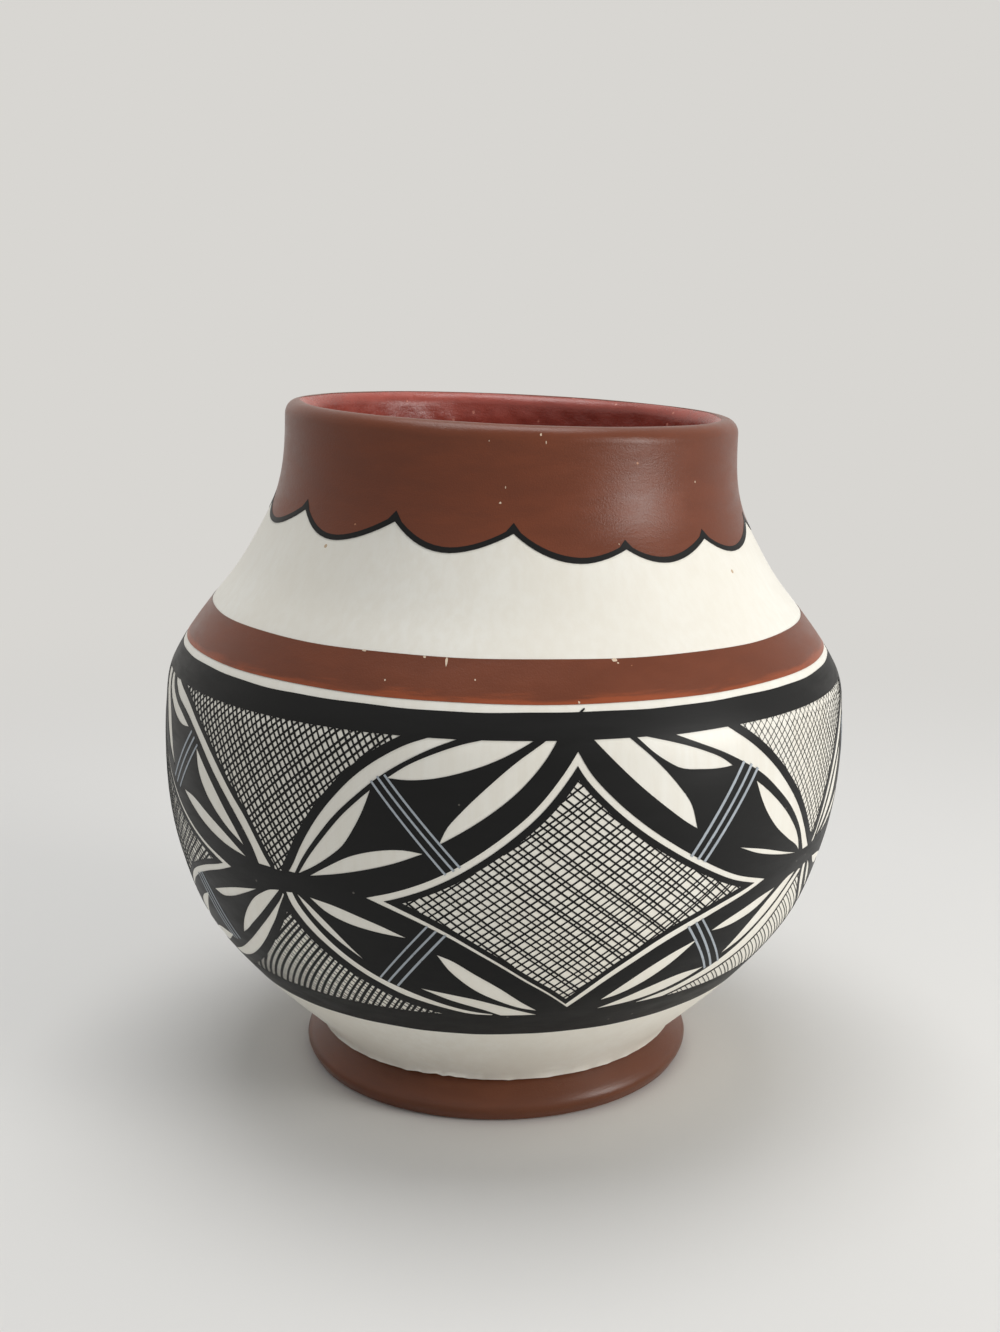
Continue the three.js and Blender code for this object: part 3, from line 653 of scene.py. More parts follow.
# %% [markdown]
# ## The left cell's own strokes
# Four cells copied from one drawing would look printed. The strokes of the left cell that lie next to the
# front one are well seen, and they differ. Those are drawn by their own points.

# %% Brush points of the left cell
LEFT_BARS = {
    "upper right": (
        ((-37.4, 84.6), (-38.5, 87.2), (-40, 91.2), (-42.5, 97.1), (-45, 101.3), (-50, 109.5), (-55, 116.1),
         (-60, 121.5), (-66.5, 125.1)),
        ((-40.1, 84.6), (-41, 88.2), (-42.5, 92.2), (-45, 97.2), (-50, 105.4), (-55, 112.7), (-60, 118),
         (-66, 121.6), (-69.6, 124.9)),
    ),
    "lower right": (
        ((-35.4, 77.5), (-36, 75.8), (-37, 73), (-38.5, 68.8), (-40, 65.5), (-42.5, 60.6), (-45, 56.8),
         (-50, 51.4), (-55, 47.9), (-60.9, 45.1)),
        ((-35.6, 77.9), (-36, 76.7), (-38.5, 71.6), (-42.5, 64.8), (-47.5, 57.8), (-52.5, 52.6), (-57.5, 49),
         (-64.5, 45.3)),
    ),
}
LEFT_LEAVES = {
    4: (((-56.1, 110.6), (-55.2, 104.5), (-52.5, 98.7), (-50, 95.3), (-47.5, 92.4), (-43.1, 88.4)),
        ((-55, 109.2), (-52.5, 105.5), (-50, 101.5), (-47.5, 97.1), (-45, 92.6), (-43.1, 88.4))),
    5: (((-61.6, 96.5), (-57.5, 96.2), (-52.5, 93.4), (-47.5, 89.8), (-42.8, 85.3)),
        ((-60, 95), (-57.5, 92.8), (-52.5, 89.1), (-47.5, 86.6), (-42.8, 85.3))),
    6: (((-59.4, 114.8), (-62.5, 117.2), (-66, 119.4), (-69, 122), (-71.4, 125.1)),
        ((-62.5, 114.2), (-66, 115.3), (-69, 117.6), (-71.8, 121), (-73.6, 125.1))),
    14: (((-49.2, 59.3), (-47.5, 64.2), (-45, 69.6), (-42.5, 73.7), (-40, 76.4), (-38.5, 77.7),
          (-36.3, 78.5)),
         ((-47.5, 61), (-45, 64.4), (-42.5, 68), (-40, 72), (-38.5, 74.6), (-36.3, 78.5))),
    15: (((-55.3, 69.9), (-52.5, 71.6), (-47.5, 74.3), (-41.6, 76.6)),
         ((-52.5, 69.3), (-50, 70.3), (-45, 73.8), (-41.6, 76.6))),
}
LEFT_FINE_LINES = {
    1: (0.6, ((-58, 114.2), (-66.2, 98.2)), ((-56.8, 113), (-65, 97)), ((-55.6, 111.4), (-63.5, 96.2))),
}
print(len(LEFT_BARS), "bars and", len(LEFT_LEAVES), "leaves of its own")

# %% Flowing lines, and lines beside them
STROKE_STEP = 1.8


def flowing(points, spacing=STROKE_STEP):
    """A flowing line in mm through brush points of (degrees, height)."""
    points = np.asarray(points, float) * (DEGREE, 1)
    knots = np.concatenate([[0], np.cumsum(np.hypot(*np.diff(points, axis=0).T))])
    at = np.linspace(0, knots[-1], max(3, math.ceil(knots[-1] / spacing)) + 1)
    return np.stack([through(knots, points[:, 0], at), through(knots, points[:, 1], at)], 1)


def beside(line, distance):
    """The line moved to its right by a distance, or by its own distance at each point."""
    steps = np.gradient(line, axis=0)
    steps /= np.hypot(*steps.T)[:, None]
    return line + np.reshape(distance, (-1, 1)) * np.stack([steps[:, 1], -steps[:, 0]], 1)


print("a diamond's side has", len(flowing(DIAMOND_SIDES[0])), "points")


# %% Where lines meet, and lines inside lines
def cross(first, second):
    """The cross product of flat directions; it is 0 where they are parallel."""
    return first[..., 0] * second[..., 1] - first[..., 1] * second[..., 0]


def meeting(first, second):
    """Where the end of one line crosses the start of the next: a place in each, and the point."""
    for i in range(len(first) - 2, -1, -1):
        for j in range(len(second) - 1):
            along_first = first[i + 1] - first[i]
            along_second = second[j + 1] - second[j]
            gap = second[j] - first[i]
            turn = cross(along_first, along_second)
            if abs(turn) < 1e-9:
                continue
            share = cross(gap, along_second) / turn
            other = cross(gap, along_first) / turn
            if 0 <= share <= 1 and 0 <= other <= 1:
                return i, j, first[i] + share * along_first
    raise ValueError("the two lines do not meet")


def inset(sides, widths):
    """Move each side inwards by its widths at start, middle and end, and close the corners again."""
    moved = []
    for side, width in zip(sides, widths):
        moved.append(beside(side, np.interp(np.linspace(0, 1, len(side)), (0, 0.5, 1), width)))
    corners = [meeting(moved[n - 1], moved[n]) for n in range(len(moved))]
    trimmed = []
    for n, side in enumerate(moved):
        start = corners[n]
        end = corners[(n + 1) % len(moved)]
        middle = side[start[1] + 1:end[0] + 1]
        trimmed.append(np.vstack([start[2][None], middle, end[2][None]]))
    return trimmed


def closed(sides):
    """One outline out of sides that follow each other."""
    return np.vstack([side[:-1] for side in sides])


diamond_sides = [flowing(side) for side in DIAMOND_SIDES]
frame_sides = inset(diamond_sides, WHITE_LINES)
window_sides = inset(frame_sides, FRAME_LINES)
diamond = closed(diamond_sides)
diamond_frame = closed(frame_sides)
diamond_window = closed(window_sides)
print("hatched window:", np.round(np.ptp(diamond_window, axis=0), 1), "mm")

# %% [markdown]
# ## Four cells from one drawing
# The pot's four cells are not equally wide, and the black crossings between them sit at slightly different
# heights. Each cell takes the front cell's outlines, stretches them to its own width and slides its two
# ends up or down.

# %% Stretch a drawing into its cell
PANEL_MIDDLE = 80.5
PANEL_REACH = 44
LEFT_LEAN = ((80, 85, 94, 104, 124), (0, -1.3, -2.6, -4.7, -4.4))
WOBBLE_ROUND = 0.45
WOBBLE_UP = 0.6
CELLS = {
    "front": (CELL_MIDDLE, CELL_HALF, 0, 0),
    "right": (103.5, 44.5, -3, 1.5),
    "back": (192.5, 44.5, -1.5, 2),
    "left": (-79, 44, -1, 3),
}


def in_cell(name, outline):
    """Place an outline of the front cell in another cell."""
    middle, half, left_rise, right_rise = CELLS[name]
    outline = np.asarray(outline, float)
    across = (outline[:, 0] / DEGREE - CELL_MIDDLE) / CELL_HALF
    height = outline[:, 1]
    reach = np.clip(1 - ((height - PANEL_MIDDLE) / PANEL_REACH) ** 2, 0, 1)
    rise = (left_rise * (1 - across) + right_rise * (1 + across)) / 2 * reach
    angle = middle + across * half
    if name == "left":
        angle = angle + np.interp(height, *LEFT_LEAN) * np.clip(across * 2.5, 0, 1)
    if name in ("right", "back"):
        fade = np.clip(1 - across ** 2, 0, 1)
        angle = angle + WOBBLE_ROUND * fade * np.sin(height / 8 + middle)
        rise = rise + WOBBLE_UP * fade * reach * np.sin(across * 7 + middle)
    return np.stack([angle * DEGREE, height + rise], 1)


print("left cell's diamond:", np.ptp(in_cell("left", diamond), axis=0).round(1), "mm")


# %% The white parts of a cell
def bar(name, corner):
    """A curved bar in one corner of a cell: its outer side, and its whole outline."""
    if name == "left" and corner in LEFT_BARS:
        outer, inner = (flowing(side) for side in LEFT_BARS[corner])
    else:
        outer, inner = (in_cell(name, flowing(side)) for side in BARS[corner])
    return outer, np.vstack([outer, inner[::-1]])


def leaf(name, number):
    """A leaf of a cell between its two sides; where they end apart, its end is cut straight."""
    own = name == "left" and number in LEFT_LEAVES
    side, other = LEFT_LEAVES[number] if own else LEAVES[number]
    first, second = (flowing(points) for points in (side, side[:1] + other))
    if not own:
        first, second = in_cell(name, first), in_cell(name, second)
    pointed = np.hypot(*(first[-1] - second[-1])) < 0.01
    return np.vstack([first, second[-2:0:-1] if pointed else second[:0:-1]])


def white_parts(name):
    """Outlines of all the white parts of a cell."""
    parts = [in_cell(name, diamond)]
    parts += [bar(name, corner)[1] for corner in BARS]
    return parts + [leaf(name, number) for number in range(len(LEAVES))]


def turned(outline, degrees):
    """An outline moved on round the pot."""
    return outline + (degrees * DEGREE, 0)


print(len(white_parts("front")), "white parts in each cell")

# %% The hatched fields between two cells
BORDERS = {"upper": (2.4, 2.6), "lower": (2.7, 2.6)}
OWN_BORDERS = {("upper", "left"): (1.7, 2.6), ("lower", "front"): (0.6, 1.4)}
FIELD_ENDS = {"upper": (PANEL_TOP, 84.4), "lower": (PANEL_BOTTOM, 76.5)}
NEIGHBOURS = (("back", "left", -360), ("left", "front", 0), ("front", "right", 0), ("right", "back", 0))
NARROWEST = 0.7


def read_at(levels, line):
    """The points of a line at rising or falling levels."""
    rising_line = line[np.argsort(line[:, 1])]
    return np.stack([np.interp(levels, rising_line[:, 1], rising_line[:, 0]), levels], 1)


def field(left_cell, right_cell, part, left_turn):
    """A three-sided field between two cells, bounded by their bars with a black border."""
    outer_left = turned(bar(left_cell, part + " right")[0], left_turn)
    outer_right = bar(right_cell, part + " left")[0]
    border = OWN_BORDERS.get((part, left_cell), BORDERS[part])
    sign = 1 if part == "upper" else -1
    edge, tip = FIELD_ENDS[part]
    levels = edge + (tip - edge) * np.linspace(0, 1, 40) ** 1.3
    left = read_at(levels, beside(outer_left, sign * border[0]))
    right = read_at(levels, beside(outer_right, -sign * border[1]))
    wide = right[:, 0] - left[:, 0] > NARROWEST
    return np.vstack([left[wide], right[wide][::-1]])


fields = {}
for part in ("upper", "lower"):
    for left_cell, right_cell, left_turn in NEIGHBOURS:
        fields[part, left_cell] = field(left_cell, right_cell, part, left_turn)
print("field tops are", [round(float(np.ptp(f[:, 0])), 1) for f in fields.values()], "mm wide")

# %% [markdown]
# ## The black ground
# The sheet is drawn a quarter longer than once round, from the back cell to the back cell again, and
# trimmed at the back. So its seam can run through the white parts there and still close.

# %% The black ground
GROUND_LOW = 36.5
GROUND_HIGH = 131.5
GROUND_ROUND = (("back", -360), ("left", 0), ("front", 0), ("right", 0), ("back", 0))


def ground_edge(height, degrees):
    """A point of a brushed edge of the ground."""
    angle = math.radians(degrees)
    wave = 0.13 * math.sin(3 * angle + height) + 0.09 * math.sin(11 * angle) + 0.05 * math.sin(29 * angle)
    return degrees * DEGREE, height + wave


BRISTLE_SLIP = ((11.2, 131.9), (11.8, 132.5), (11.9, 132.2), (11.5, 131.6))

low_edge = [ground_edge(GROUND_LOW, degrees) for degrees in range(-213, 239)]
high_edge = [ground_edge(GROUND_HIGH, degrees) for degrees in range(-213, 12)]
high_edge += [(degrees * DEGREE, height) for degrees, height in BRISTLE_SLIP]
high_edge += [ground_edge(GROUND_HIGH, degrees) for degrees in range(12, 239)]
outlines = [low_edge + high_edge[::-1]]
for name, turn in GROUND_ROUND:
    outlines += [turned(part, turn) for part in white_parts(name)]
outlines += list(fields.values())
keep(painted("black_ground", outlines, 0, PAINT_COAT), "black_slip", "black_paint")

# %% [markdown]
# ## The diamonds' black frames
# Inside each diamond's white line runs a black one, and the hatching ends on it. The back cell lies across
# the seam, so its frame is drawn on both ends of the paper.

# %% Four frames
for number, name in enumerate(("front", "right", "back", "left"), 1):
    rings = [in_cell(name, diamond_frame), in_cell(name, diamond_window)]
    if name == "back":
        rings += [turned(ring, -360) for ring in rings]
    frame_line = painted(f"frame_line_{number}", rings, 0, PAINT_COAT)
    keep(frame_line, "black_slip", f"diamond_frame_{number}")

# %% [markdown]
# ## Hatching
# The nets are two families of fine brush lines, drawn one family over the other. Every line differs a
# little in place, width and bow, as it does from a hand. One short strip stands for a brush stroke. It is
# copied to each line, bent to it, and all copies are joined. Their ends run under the black frames.

# %% One stroke, copied
STROKE_COAT = 0.1
UNDER_LIFT = -0.01
OVER_LIFT = 0.015


def stroke_strip(steps):
    """A flat strip of faces, to be bent to a line."""
    select_nothing()
    bpy.ops.mesh.primitive_grid_add(x_subdivisions=steps, y_subdivisions=1, size=1)
    return bpy.context.object


def brushed(name, strokes, lift):
    """Copy the strip to each stroke (line, width), join the copies and wrap them."""
    strips = {}
    copies = []
    for line, width in strokes:
        steps = len(line) - 1
        if steps not in strips:
            strips[steps] = stroke_strip(steps)
        copy = placed(name, strips[steps].data.copy())
        copies.append(copy)
        sideways = beside(line, 0.5) - line
        for vertex in copy.data.vertices:
            place = min(steps, max(0, round((vertex.co.x + 0.5) * steps)))
            point = line[place] - sideways[place] * width * 2 * vertex.co.y
            vertex.co = (point[0], point[1], 0)
    select_nothing()
    for strip in strips.values():
        strip.select_set(True)
    bpy.ops.object.delete()
    for copy in copies:
        copy.select_set(True)
    bpy.context.view_layer.objects.active = copies[0]
    bpy.ops.object.join()
    piece = bpy.context.object
    piece.name = name
    thicken(piece, lift, STROKE_COAT)
    return wrap(piece)


print("a stroke is", STROKE_COAT, "mm thick")

# %% Brush lines over a window
STROKE_UNDER = 0.7
STROKE_TURN = 0.5
STROKE_SLIDE = 0.9
STROKE_BOW = 0.2
SHORTEST = 0.8


def inside(window, point, direction):
    """The stretches of a straight line that lie inside an outline, as pairs of distances."""
    after = np.roll(window, -1, axis=0)
    sides = after - window
    turn = cross(direction, sides)
    turn = np.where(np.abs(turn) < 1e-9, 1e-9, turn)
    along_line = cross(window - point, sides) / turn
    along_side = cross(window - point, direction) / turn
    cuts = np.sort(along_line[(along_side >= 0) & (along_side < 1)])
    return list(zip(cuts[0::2], cuts[1::2]))


def hatching(window, angle, pitch, width, seed, fan=0, care=1):
    """Parallel or slightly fanned brush lines over a window, each with its own small errors."""
    draw = random.Random(seed)
    middle = window.mean(0)
    reach = (window - middle) @ np.array([-math.sin(math.radians(angle)), math.cos(math.radians(angle))])
    strokes = []
    offset = reach.min() + pitch * 0.6
    while offset < reach.max() - 0.2:
        share = (offset - reach.min()) / np.ptp(reach) - 0.5
        error = care * draw.uniform(-STROKE_TURN, STROKE_TURN)
        turn = math.radians(angle + fan * share + error)
        direction = np.array([math.cos(turn), math.sin(turn)])
        across = np.array([-direction[1], direction[0]])
        point = middle + across * (offset + STROKE_SLIDE * error)
        for start, end in inside(window, point, direction):
            if end - start < SHORTEST:
                continue
            start -= STROKE_UNDER * draw.uniform(0.7, 1.1)
            end += STROKE_UNDER * draw.uniform(0.7, 1.1)
            steps = max(2, min(14, math.ceil((end - start) / 5)))
            along_stroke = np.linspace(0, 1, steps + 1)
            bow = care * draw.uniform(-STROKE_BOW, STROKE_BOW) * min(1, (end - start) / 30)
            sag = bow * np.sin(math.pi * along_stroke)
            reached = start + (end - start) * along_stroke
            line = point + direction * reached[:, None] + across * sag[:, None]
            strokes.append((line, width * draw.uniform(0.85, 1.17)))
        offset += pitch * (1 + care * draw.uniform(-0.08, 0.08))
    return strokes


# %% The nets of the diamonds
DIAMOND_NETS = {
    "front": ((36, 2, 0.47), (-38.5, 1.84, 0.45)),
    "right": ((37, 1.95, 0.46), (-38, 1.9, 0.44)),
    "back": ((35, 1.9, 0.47), (-38, 1.95, 0.44)),
    "left": ((31, 2.1, 0.62), (-42, 2, 0.28)),
}

rising = []
falling = []
for number, (name, nets) in enumerate(DIAMOND_NETS.items()):
    for (angle, pitch, width), strokes, seed in zip(nets, (rising, falling), (20, 40)):
        for line, wide in hatching(diamond_window, angle, pitch, width, seed + number):
            strokes.append((in_cell(name, line), wide))
keep(brushed("diamond_net_rising", rising, UNDER_LIFT), "black_slip")
keep(brushed("diamond_net_falling", falling, OVER_LIFT), "black_slip")
print(len(rising), "rising and", len(falling), "falling lines")

# %% The nets of the fields
FIELD_CARE = 0.5
FIELD_NETS = {
    "upper": ((40, 1.82, 0.57, 0), (-58, 1.68, 0.54, 0)),
    "lower": ((47, 1.85, 0.78, -13), (-40, 1.5, 0.17, 0)),
}
# Nets that single fields have apart from the rest. The upper field right of the front cell gets very thin
# lines as a painted highlight: they stand in for the window lamp's glare on that field, and the real lines
# are thicker. The lower field right of the front cell has a single net of its own.
OWN_AND_PAINTED_HIGHLIGHT_NETS = {
    ("upper", "front"): ((42, 1.9, 0.14, 0), (-56, 1.9, 0.14, 0)),
    ("lower", "front"): ((-35, 1.25, 0.22, 0),),
}

first = []
second = []
for number, (key, window) in enumerate(fields.items()):
    nets = OWN_AND_PAINTED_HIGHLIGHT_NETS.get(key, FIELD_NETS[key[0]])
    for (angle, pitch, width, fan), strokes, seed in zip(nets, (first, second), (60, 80)):
        strokes += hatching(window, angle, pitch, width, seed + number, fan, FIELD_CARE)
keep(brushed("field_net_first", first, UNDER_LIFT), "black_slip")
keep(brushed("field_net_second", second, OVER_LIFT), "black_slip")
print(len(first) + len(second), "field lines")

# %% [markdown]
# ## The fine pale lines
# Four bundles of three thin blue-grey lines cross the black of each cell, from its bars to its diamond.
# They are the same stroke, laid over the black.

# %% The pale lines
pale = []
draw = random.Random(5)
for name in CELLS:
    for number, bundle in enumerate(FINE_LINES):
        own = name == "left" and number in LEFT_FINE_LINES
        width, *lines = LEFT_FINE_LINES[number] if own else bundle
        for ends in lines:
            line = flowing(ends, 3) if own else in_cell(name, flowing(ends, 3))
            pale.append((line, width * draw.uniform(0.9, 1.1)))
keep(brushed("fine_lines", pale, LINE_LIFT), "white_slip")

# %% [markdown]
# ## Small chips
# The painted surface has a few tiny pale chips, most of them on the brown. Each is an uneven little flake
# outline, filled and laid on top.

# %% The chips
CHIP_LIFT = 0.03
CHIP_COAT = 0.1
CHIP_CORNERS = 9
CHIPS = (
    (-10, 142.2, 0.45, 1.1), (-13.8, 142.9, 0.5, 0.25), (-24.7, 143, 0.7, 0.25), (18.1, 142.9, 0.9, 0.4),
    (18.6, 142.2, 0.3, 0.25), (-19.5, 137.1, 0.22, 0.22), (-5, 138.5, 0.22, 0.2), (11.1, 133.7, 0.3, 0.35),
    (6.4, 198.6, 0.45, 0.4), (-2.3, 180.5, 0.5, 0.3), (-1.2, 184.6, 0.2, 0.4), (48.7, 185.4, 0.3, 0.3),
    (-5.1, 196.4, 0.2, 0.25), (7.6, 196.6, 0.2, 0.5), (24, 170.3, 0.22, 0.22), (118, 141.8, 0.8, 0.5),
    (-131, 142.6, 0.6, 0.35), (171, 134.4, 0.5, 0.4), (-96, 182, 0.4, 0.4), (143, 178, 0.35, 0.5),
)

draw = random.Random(3)
flakes = []
for degrees, walk, wide, high in CHIPS:
    flake = []
    for step in range(CHIP_CORNERS):
        turn = 2 * math.pi * step / CHIP_CORNERS
        reach = draw.uniform(0.65, 1.15)
        across = wide * reach * math.cos(turn)
        flake.append((degrees * DEGREE + across, walk + high * reach * math.sin(turn)))
    flakes.append(flake)
chips = drawn("chips", flakes)
thicken(chips, CHIP_LIFT, CHIP_COAT)
keep(wrap(chips), "white_slip")

# %% [markdown]
# ## Finishes
# Slip is coloured clay, brushed on and polished. Up close it is never one colour. It has streaks left by
# the brush or the polishing stone, a fine grain and a few specks. A stretched noise makes the streaks. It
# reads the Object coordinates, so it runs round the pot without a seam. Two node groups make these effects
# once, and each finish uses them with its own values. A third finds the lower edge of the shoulder's band,
# where the brush left the slip thin and more orange.

# %% Helpers for colours and nodes
def tone(red, green, blue):
    """A colour as a painter's swatch gives it, turned into the numbers that a shader wants."""
    shares = [value / 255 for value in (red, green, blue)]
    return tuple(s / 12.92 if s < 0.04045 else ((s + 0.055) / 1.055) ** 2.4 for s in shares) + (1,)


def add_node(tree, kind, inputs=None, **settings):
    """A new node; each input gets a plain value, or a link from another node's output."""
    node = tree.nodes.new("ShaderNode" + kind)
    for setting, value in settings.items():
        setattr(node, setting, value)
    for label, value in (inputs or {}).items():
        if hasattr(value, "is_linked"):
            tree.links.new(value, node.inputs[label])
        else:
            node.inputs[label].default_value = value
    return node


def calculated(tree, operation, *values, clamped=False):
    """The result of a sum on numbers and sockets."""
    node = add_node(tree, "Math", dict(enumerate(values)), operation=operation, use_clamp=clamped)
    return node.outputs[0]


def ramp(tree, value, low, high):
    """A soft step of a value between two levels."""
    inputs = {"Value": value, "From Min": low, "From Max": high}
    return add_node(tree, "MapRange", inputs, interpolation_type="SMOOTHSTEP").outputs["Result"]


def scaled(tree, mask, low, high):
    """A mask spread between two numbers."""
    return add_node(tree, "MapRange", {"Value": mask, "To Min": low, "To Max": high}).outputs["Result"]


def mixed(tree, mask, first, second):
    """A colour between two, by a mask."""
    return add_node(tree, "Mix", {0: mask, 6: first, 7: second}, data_type="RGBA").outputs[2]


def noise_at(tree, stretch, detail, roughness):
    """A noise over stretched Object coordinates."""
    place = add_node(tree, "TexCoord").outputs["Object"]
    stretched = add_node(tree, "VectorMath", {0: place, 1: stretch}, operation="MULTIPLY").outputs["Vector"]
    inputs = {"Vector": stretched, "Scale": 1, "Detail": detail, "Roughness": roughness}
    return add_node(tree, "TexNoise", inputs).outputs["Fac"]


print("the collar's brown in a shader's numbers:", np.round(tone(102, 52, 32), 3))

# %% Shared node groups
STREAKS = (40, 40, 700)
PATCHES = (25, 25, 60)
EDGE_FRAY = 0.0032
EDGE_END = -0.001


def new_group(name, inputs, results):
    """An empty node group, its inputs by name and the places for its results."""
    group = bpy.data.node_groups.new(name, "ShaderNodeTree")
    for label, value in inputs.items():
        kind = "NodeSocketVector" if isinstance(value, tuple) else "NodeSocketFloat"
        group.interface.new_socket(label, in_out="INPUT", socket_type=kind).default_value = value
    for label in results:
        group.interface.new_socket(label, in_out="OUTPUT", socket_type="NodeSocketFloat")
    return group, group.nodes.new("NodeGroupInput").outputs, group.nodes.new("NodeGroupOutput").inputs


def brushed_group():
    """Streaks along or up the pot, and slow patches of thicker slip."""
    inputs = {"Streak Stretch": STREAKS, "Patch Stretch": PATCHES}
    group, given, result = new_group("brushed_slip", inputs, ["Streaks", "Patches"])
    streaks = noise_at(group, given["Streak Stretch"], 5, 0.6)
    patches = noise_at(group, given["Patch Stretch"], 3, 0.5)
    group.links.new(ramp(group, streaks, 0.3, 0.7), result["Streaks"])
    group.links.new(ramp(group, patches, 0.32, 0.68), result["Patches"])
    return group


def grain_group():
    """Fine grain of fired slip, and rare small specks."""
    inputs = {"Speck Scale": 500, "Speck Share": 0.03}
    group, given, result = new_group("fired_grain", inputs, ["Grain", "Specks"])
    group.links.new(noise_at(group, (1900, 1900, 1900), 3, 0.65), result["Grain"])
    place = add_node(group, "TexCoord").outputs["Object"]
    cells = add_node(group, "TexVoronoi", {"Vector": place, "Scale": given["Speck Scale"]}).outputs
    red = add_node(group, "SeparateColor", {"Color": cells["Color"]}).outputs["Red"]
    rare = calculated(group, "LESS_THAN", red, given["Speck Share"])
    near = calculated(group, "LESS_THAN", cells["Distance"], 0.3)
    group.links.new(calculated(group, "MULTIPLY", rare, near), result["Specks"])
    return group


def thin_edge_group():
    """A frayed strip of thin slip up from a level of the leaning pot."""
    group, given, result = new_group("thin_edge", {"Level": 0.1, "Lean": (0, 0, 1)}, ["Edge"])
    place = add_node(group, "TexCoord").outputs["Object"]
    upright = add_node(group, "VectorMath", {0: place, 1: given["Lean"]}, operation="DOT_PRODUCT")
    above = calculated(group, "SUBTRACT", upright.outputs["Value"], given["Level"])
    uneven = noise_at(group, (50, 50, 500), 4, 0.6)
    frayed = calculated(group, "MULTIPLY_ADD", uneven, -2 * EDGE_FRAY, above)
    group.links.new(ramp(group, frayed, EDGE_END, -EDGE_FRAY), result["Edge"])
    return group


BRUSHED = brushed_group()
GRAIN = grain_group()
THIN_EDGE = thin_edge_group()
print("groups:", BRUSHED.name, GRAIN.name, THIN_EDGE.name)

# %% One way to mix a slip
PATCH_STRENGTH = 0.5
EDGE_STRENGTH = 0.6
STREAK_RELIEF = 0.5
GRAIN_DEPTH = 0.0001


def slip(name, thin, full, speck, rough, streak=STREAKS, patch=PATCHES, share=0.03, bump=0.25,
         speck_scale=500, specular=0.5, edge=None):
    """A brushed and fired slip: two tones of one colour, a speck colour and a range of roughness."""
    material = bpy.data.materials.new(name)
    material.use_nodes = True
    tree = material.node_tree
    shader = tree.nodes["Principled BSDF"].inputs
    stretches = {"Streak Stretch": streak, "Patch Stretch": patch}
    brush = add_node(tree, "Group", stretches, node_tree=BRUSHED).outputs
    specks = {"Speck Scale": speck_scale, "Speck Share": share}
    grain = add_node(tree, "Group", specks, node_tree=GRAIN).outputs
    middle = tuple((a + b) / 2 for a, b in zip(thin, full))
    body = mixed(tree, brush["Streaks"], middle, full)
    body = mixed(tree, scaled(tree, brush["Patches"], 0, PATCH_STRENGTH), body, thin)
    body = mixed(tree, grain["Specks"], body, speck)
    if edge:
        level = {"Level": BAND_LOW * MM, "Lean": (TIP * (BAND_LOW - TIP_START), 0, 1)}
        strip = add_node(tree, "Group", level, node_tree=THIN_EDGE).outputs["Edge"]
        body = mixed(tree, scaled(tree, strip, 0, EDGE_STRENGTH), body, edge)
    tree.links.new(body, shader["Base Color"])
    tree.links.new(scaled(tree, brush["Streaks"], *rough), shader["Roughness"])
    shader["Specular IOR Level"].default_value = specular
    height = calculated(tree, "MULTIPLY_ADD", brush["Streaks"], STREAK_RELIEF, grain["Grain"])
    relief = add_node(tree, "Bump", {"Strength": bump, "Distance": GRAIN_DEPTH, "Height": height})
    tree.links.new(relief.outputs["Normal"], shader["Normal"])
    return material


def brown_slip(name, edge=None):
    """The brown of the collar and the shoulder, which may have an edge of thin slip."""
    return slip(
        name, tone(102, 52, 32), tone(117, 60, 36), tone(170, 116, 84), (0.28, 0.36), streak=(70, 70, 240),
        share=0.002, bump=0.7, speck_scale=700, specular=0.3, edge=edge,
    )


# %% The slips, the clay and the chips
white_finish = slip(
    "white_slip_finish", tone(234, 228, 214), tone(243, 240, 230), tone(196, 170, 138), (0.36, 0.46),
    streak=(420, 420, 22), patch=(30, 30, 12), share=0.001, bump=0.12, speck_scale=520,
)
brown_finish = brown_slip("brown_slip_finish")
band_finish = brown_slip("band_slip_finish", edge=tone(168, 82, 44))
black_finish = slip(
    "black_slip_finish", tone(14, 14, 14), tone(21, 21, 21), tone(84, 80, 75), (0.4, 0.5),
    streak=(70, 70, 300), share=0.003, bump=0.2, speck_scale=900, specular=0.2,
)
foot_finish = slip(
    "foot_slip_finish", tone(90, 49, 29), tone(108, 60, 37), tone(150, 104, 78), (0.3, 0.4),
    streak=(60, 60, 300), share=0.002, bump=0.6, speck_scale=600, specular=0.35,
)
mouth_finish = slip(
    "mouth_slip_finish", tone(140, 58, 47), tone(170, 77, 63), tone(204, 128, 110), (0.22, 0.36),
    streak=(160, 160, 420), patch=(60, 60, 90), share=0.02, bump=0.9, speck_scale=600,
)
clay_finish = slip(
    "fired_clay_finish", tone(166, 112, 82), tone(184, 130, 98), tone(112, 74, 56), (0.72, 0.9),
    share=0.05, bump=1.0, speck_scale=900,
)
grey_finish = slip(
    "pale_line_finish", tone(150, 158, 165), tone(178, 186, 193), tone(104, 108, 114), (0.42, 0.55),
    share=0.03, bump=0.2, speck_scale=1500,
)
chip_finish = slip(
    "chip_finish", tone(206, 178, 148), tone(232, 214, 190), tone(180, 150, 120), (0.6, 0.8), share=0.05,
)
print(len(bpy.data.materials), "materials with the CAD model's own")

# %% Which piece wears which finish
FINISHES = {
    "white_coat": white_finish, "collar_coat": brown_finish, "shoulder_coat": band_finish,
    "foot_coat": foot_finish, "mouth_coat": mouth_finish, "fine_lines": grey_finish, "chips": chip_finish,
    "clay_wall": clay_finish, "clay_floor": clay_finish, "clay_foot": clay_finish,
}
for piece in PIECES:
    piece.data.materials.clear()
    piece.data.materials.append(FINISHES.get(piece.name, black_finish))
print({piece.name: piece.data.materials[0].name for piece in PIECES})

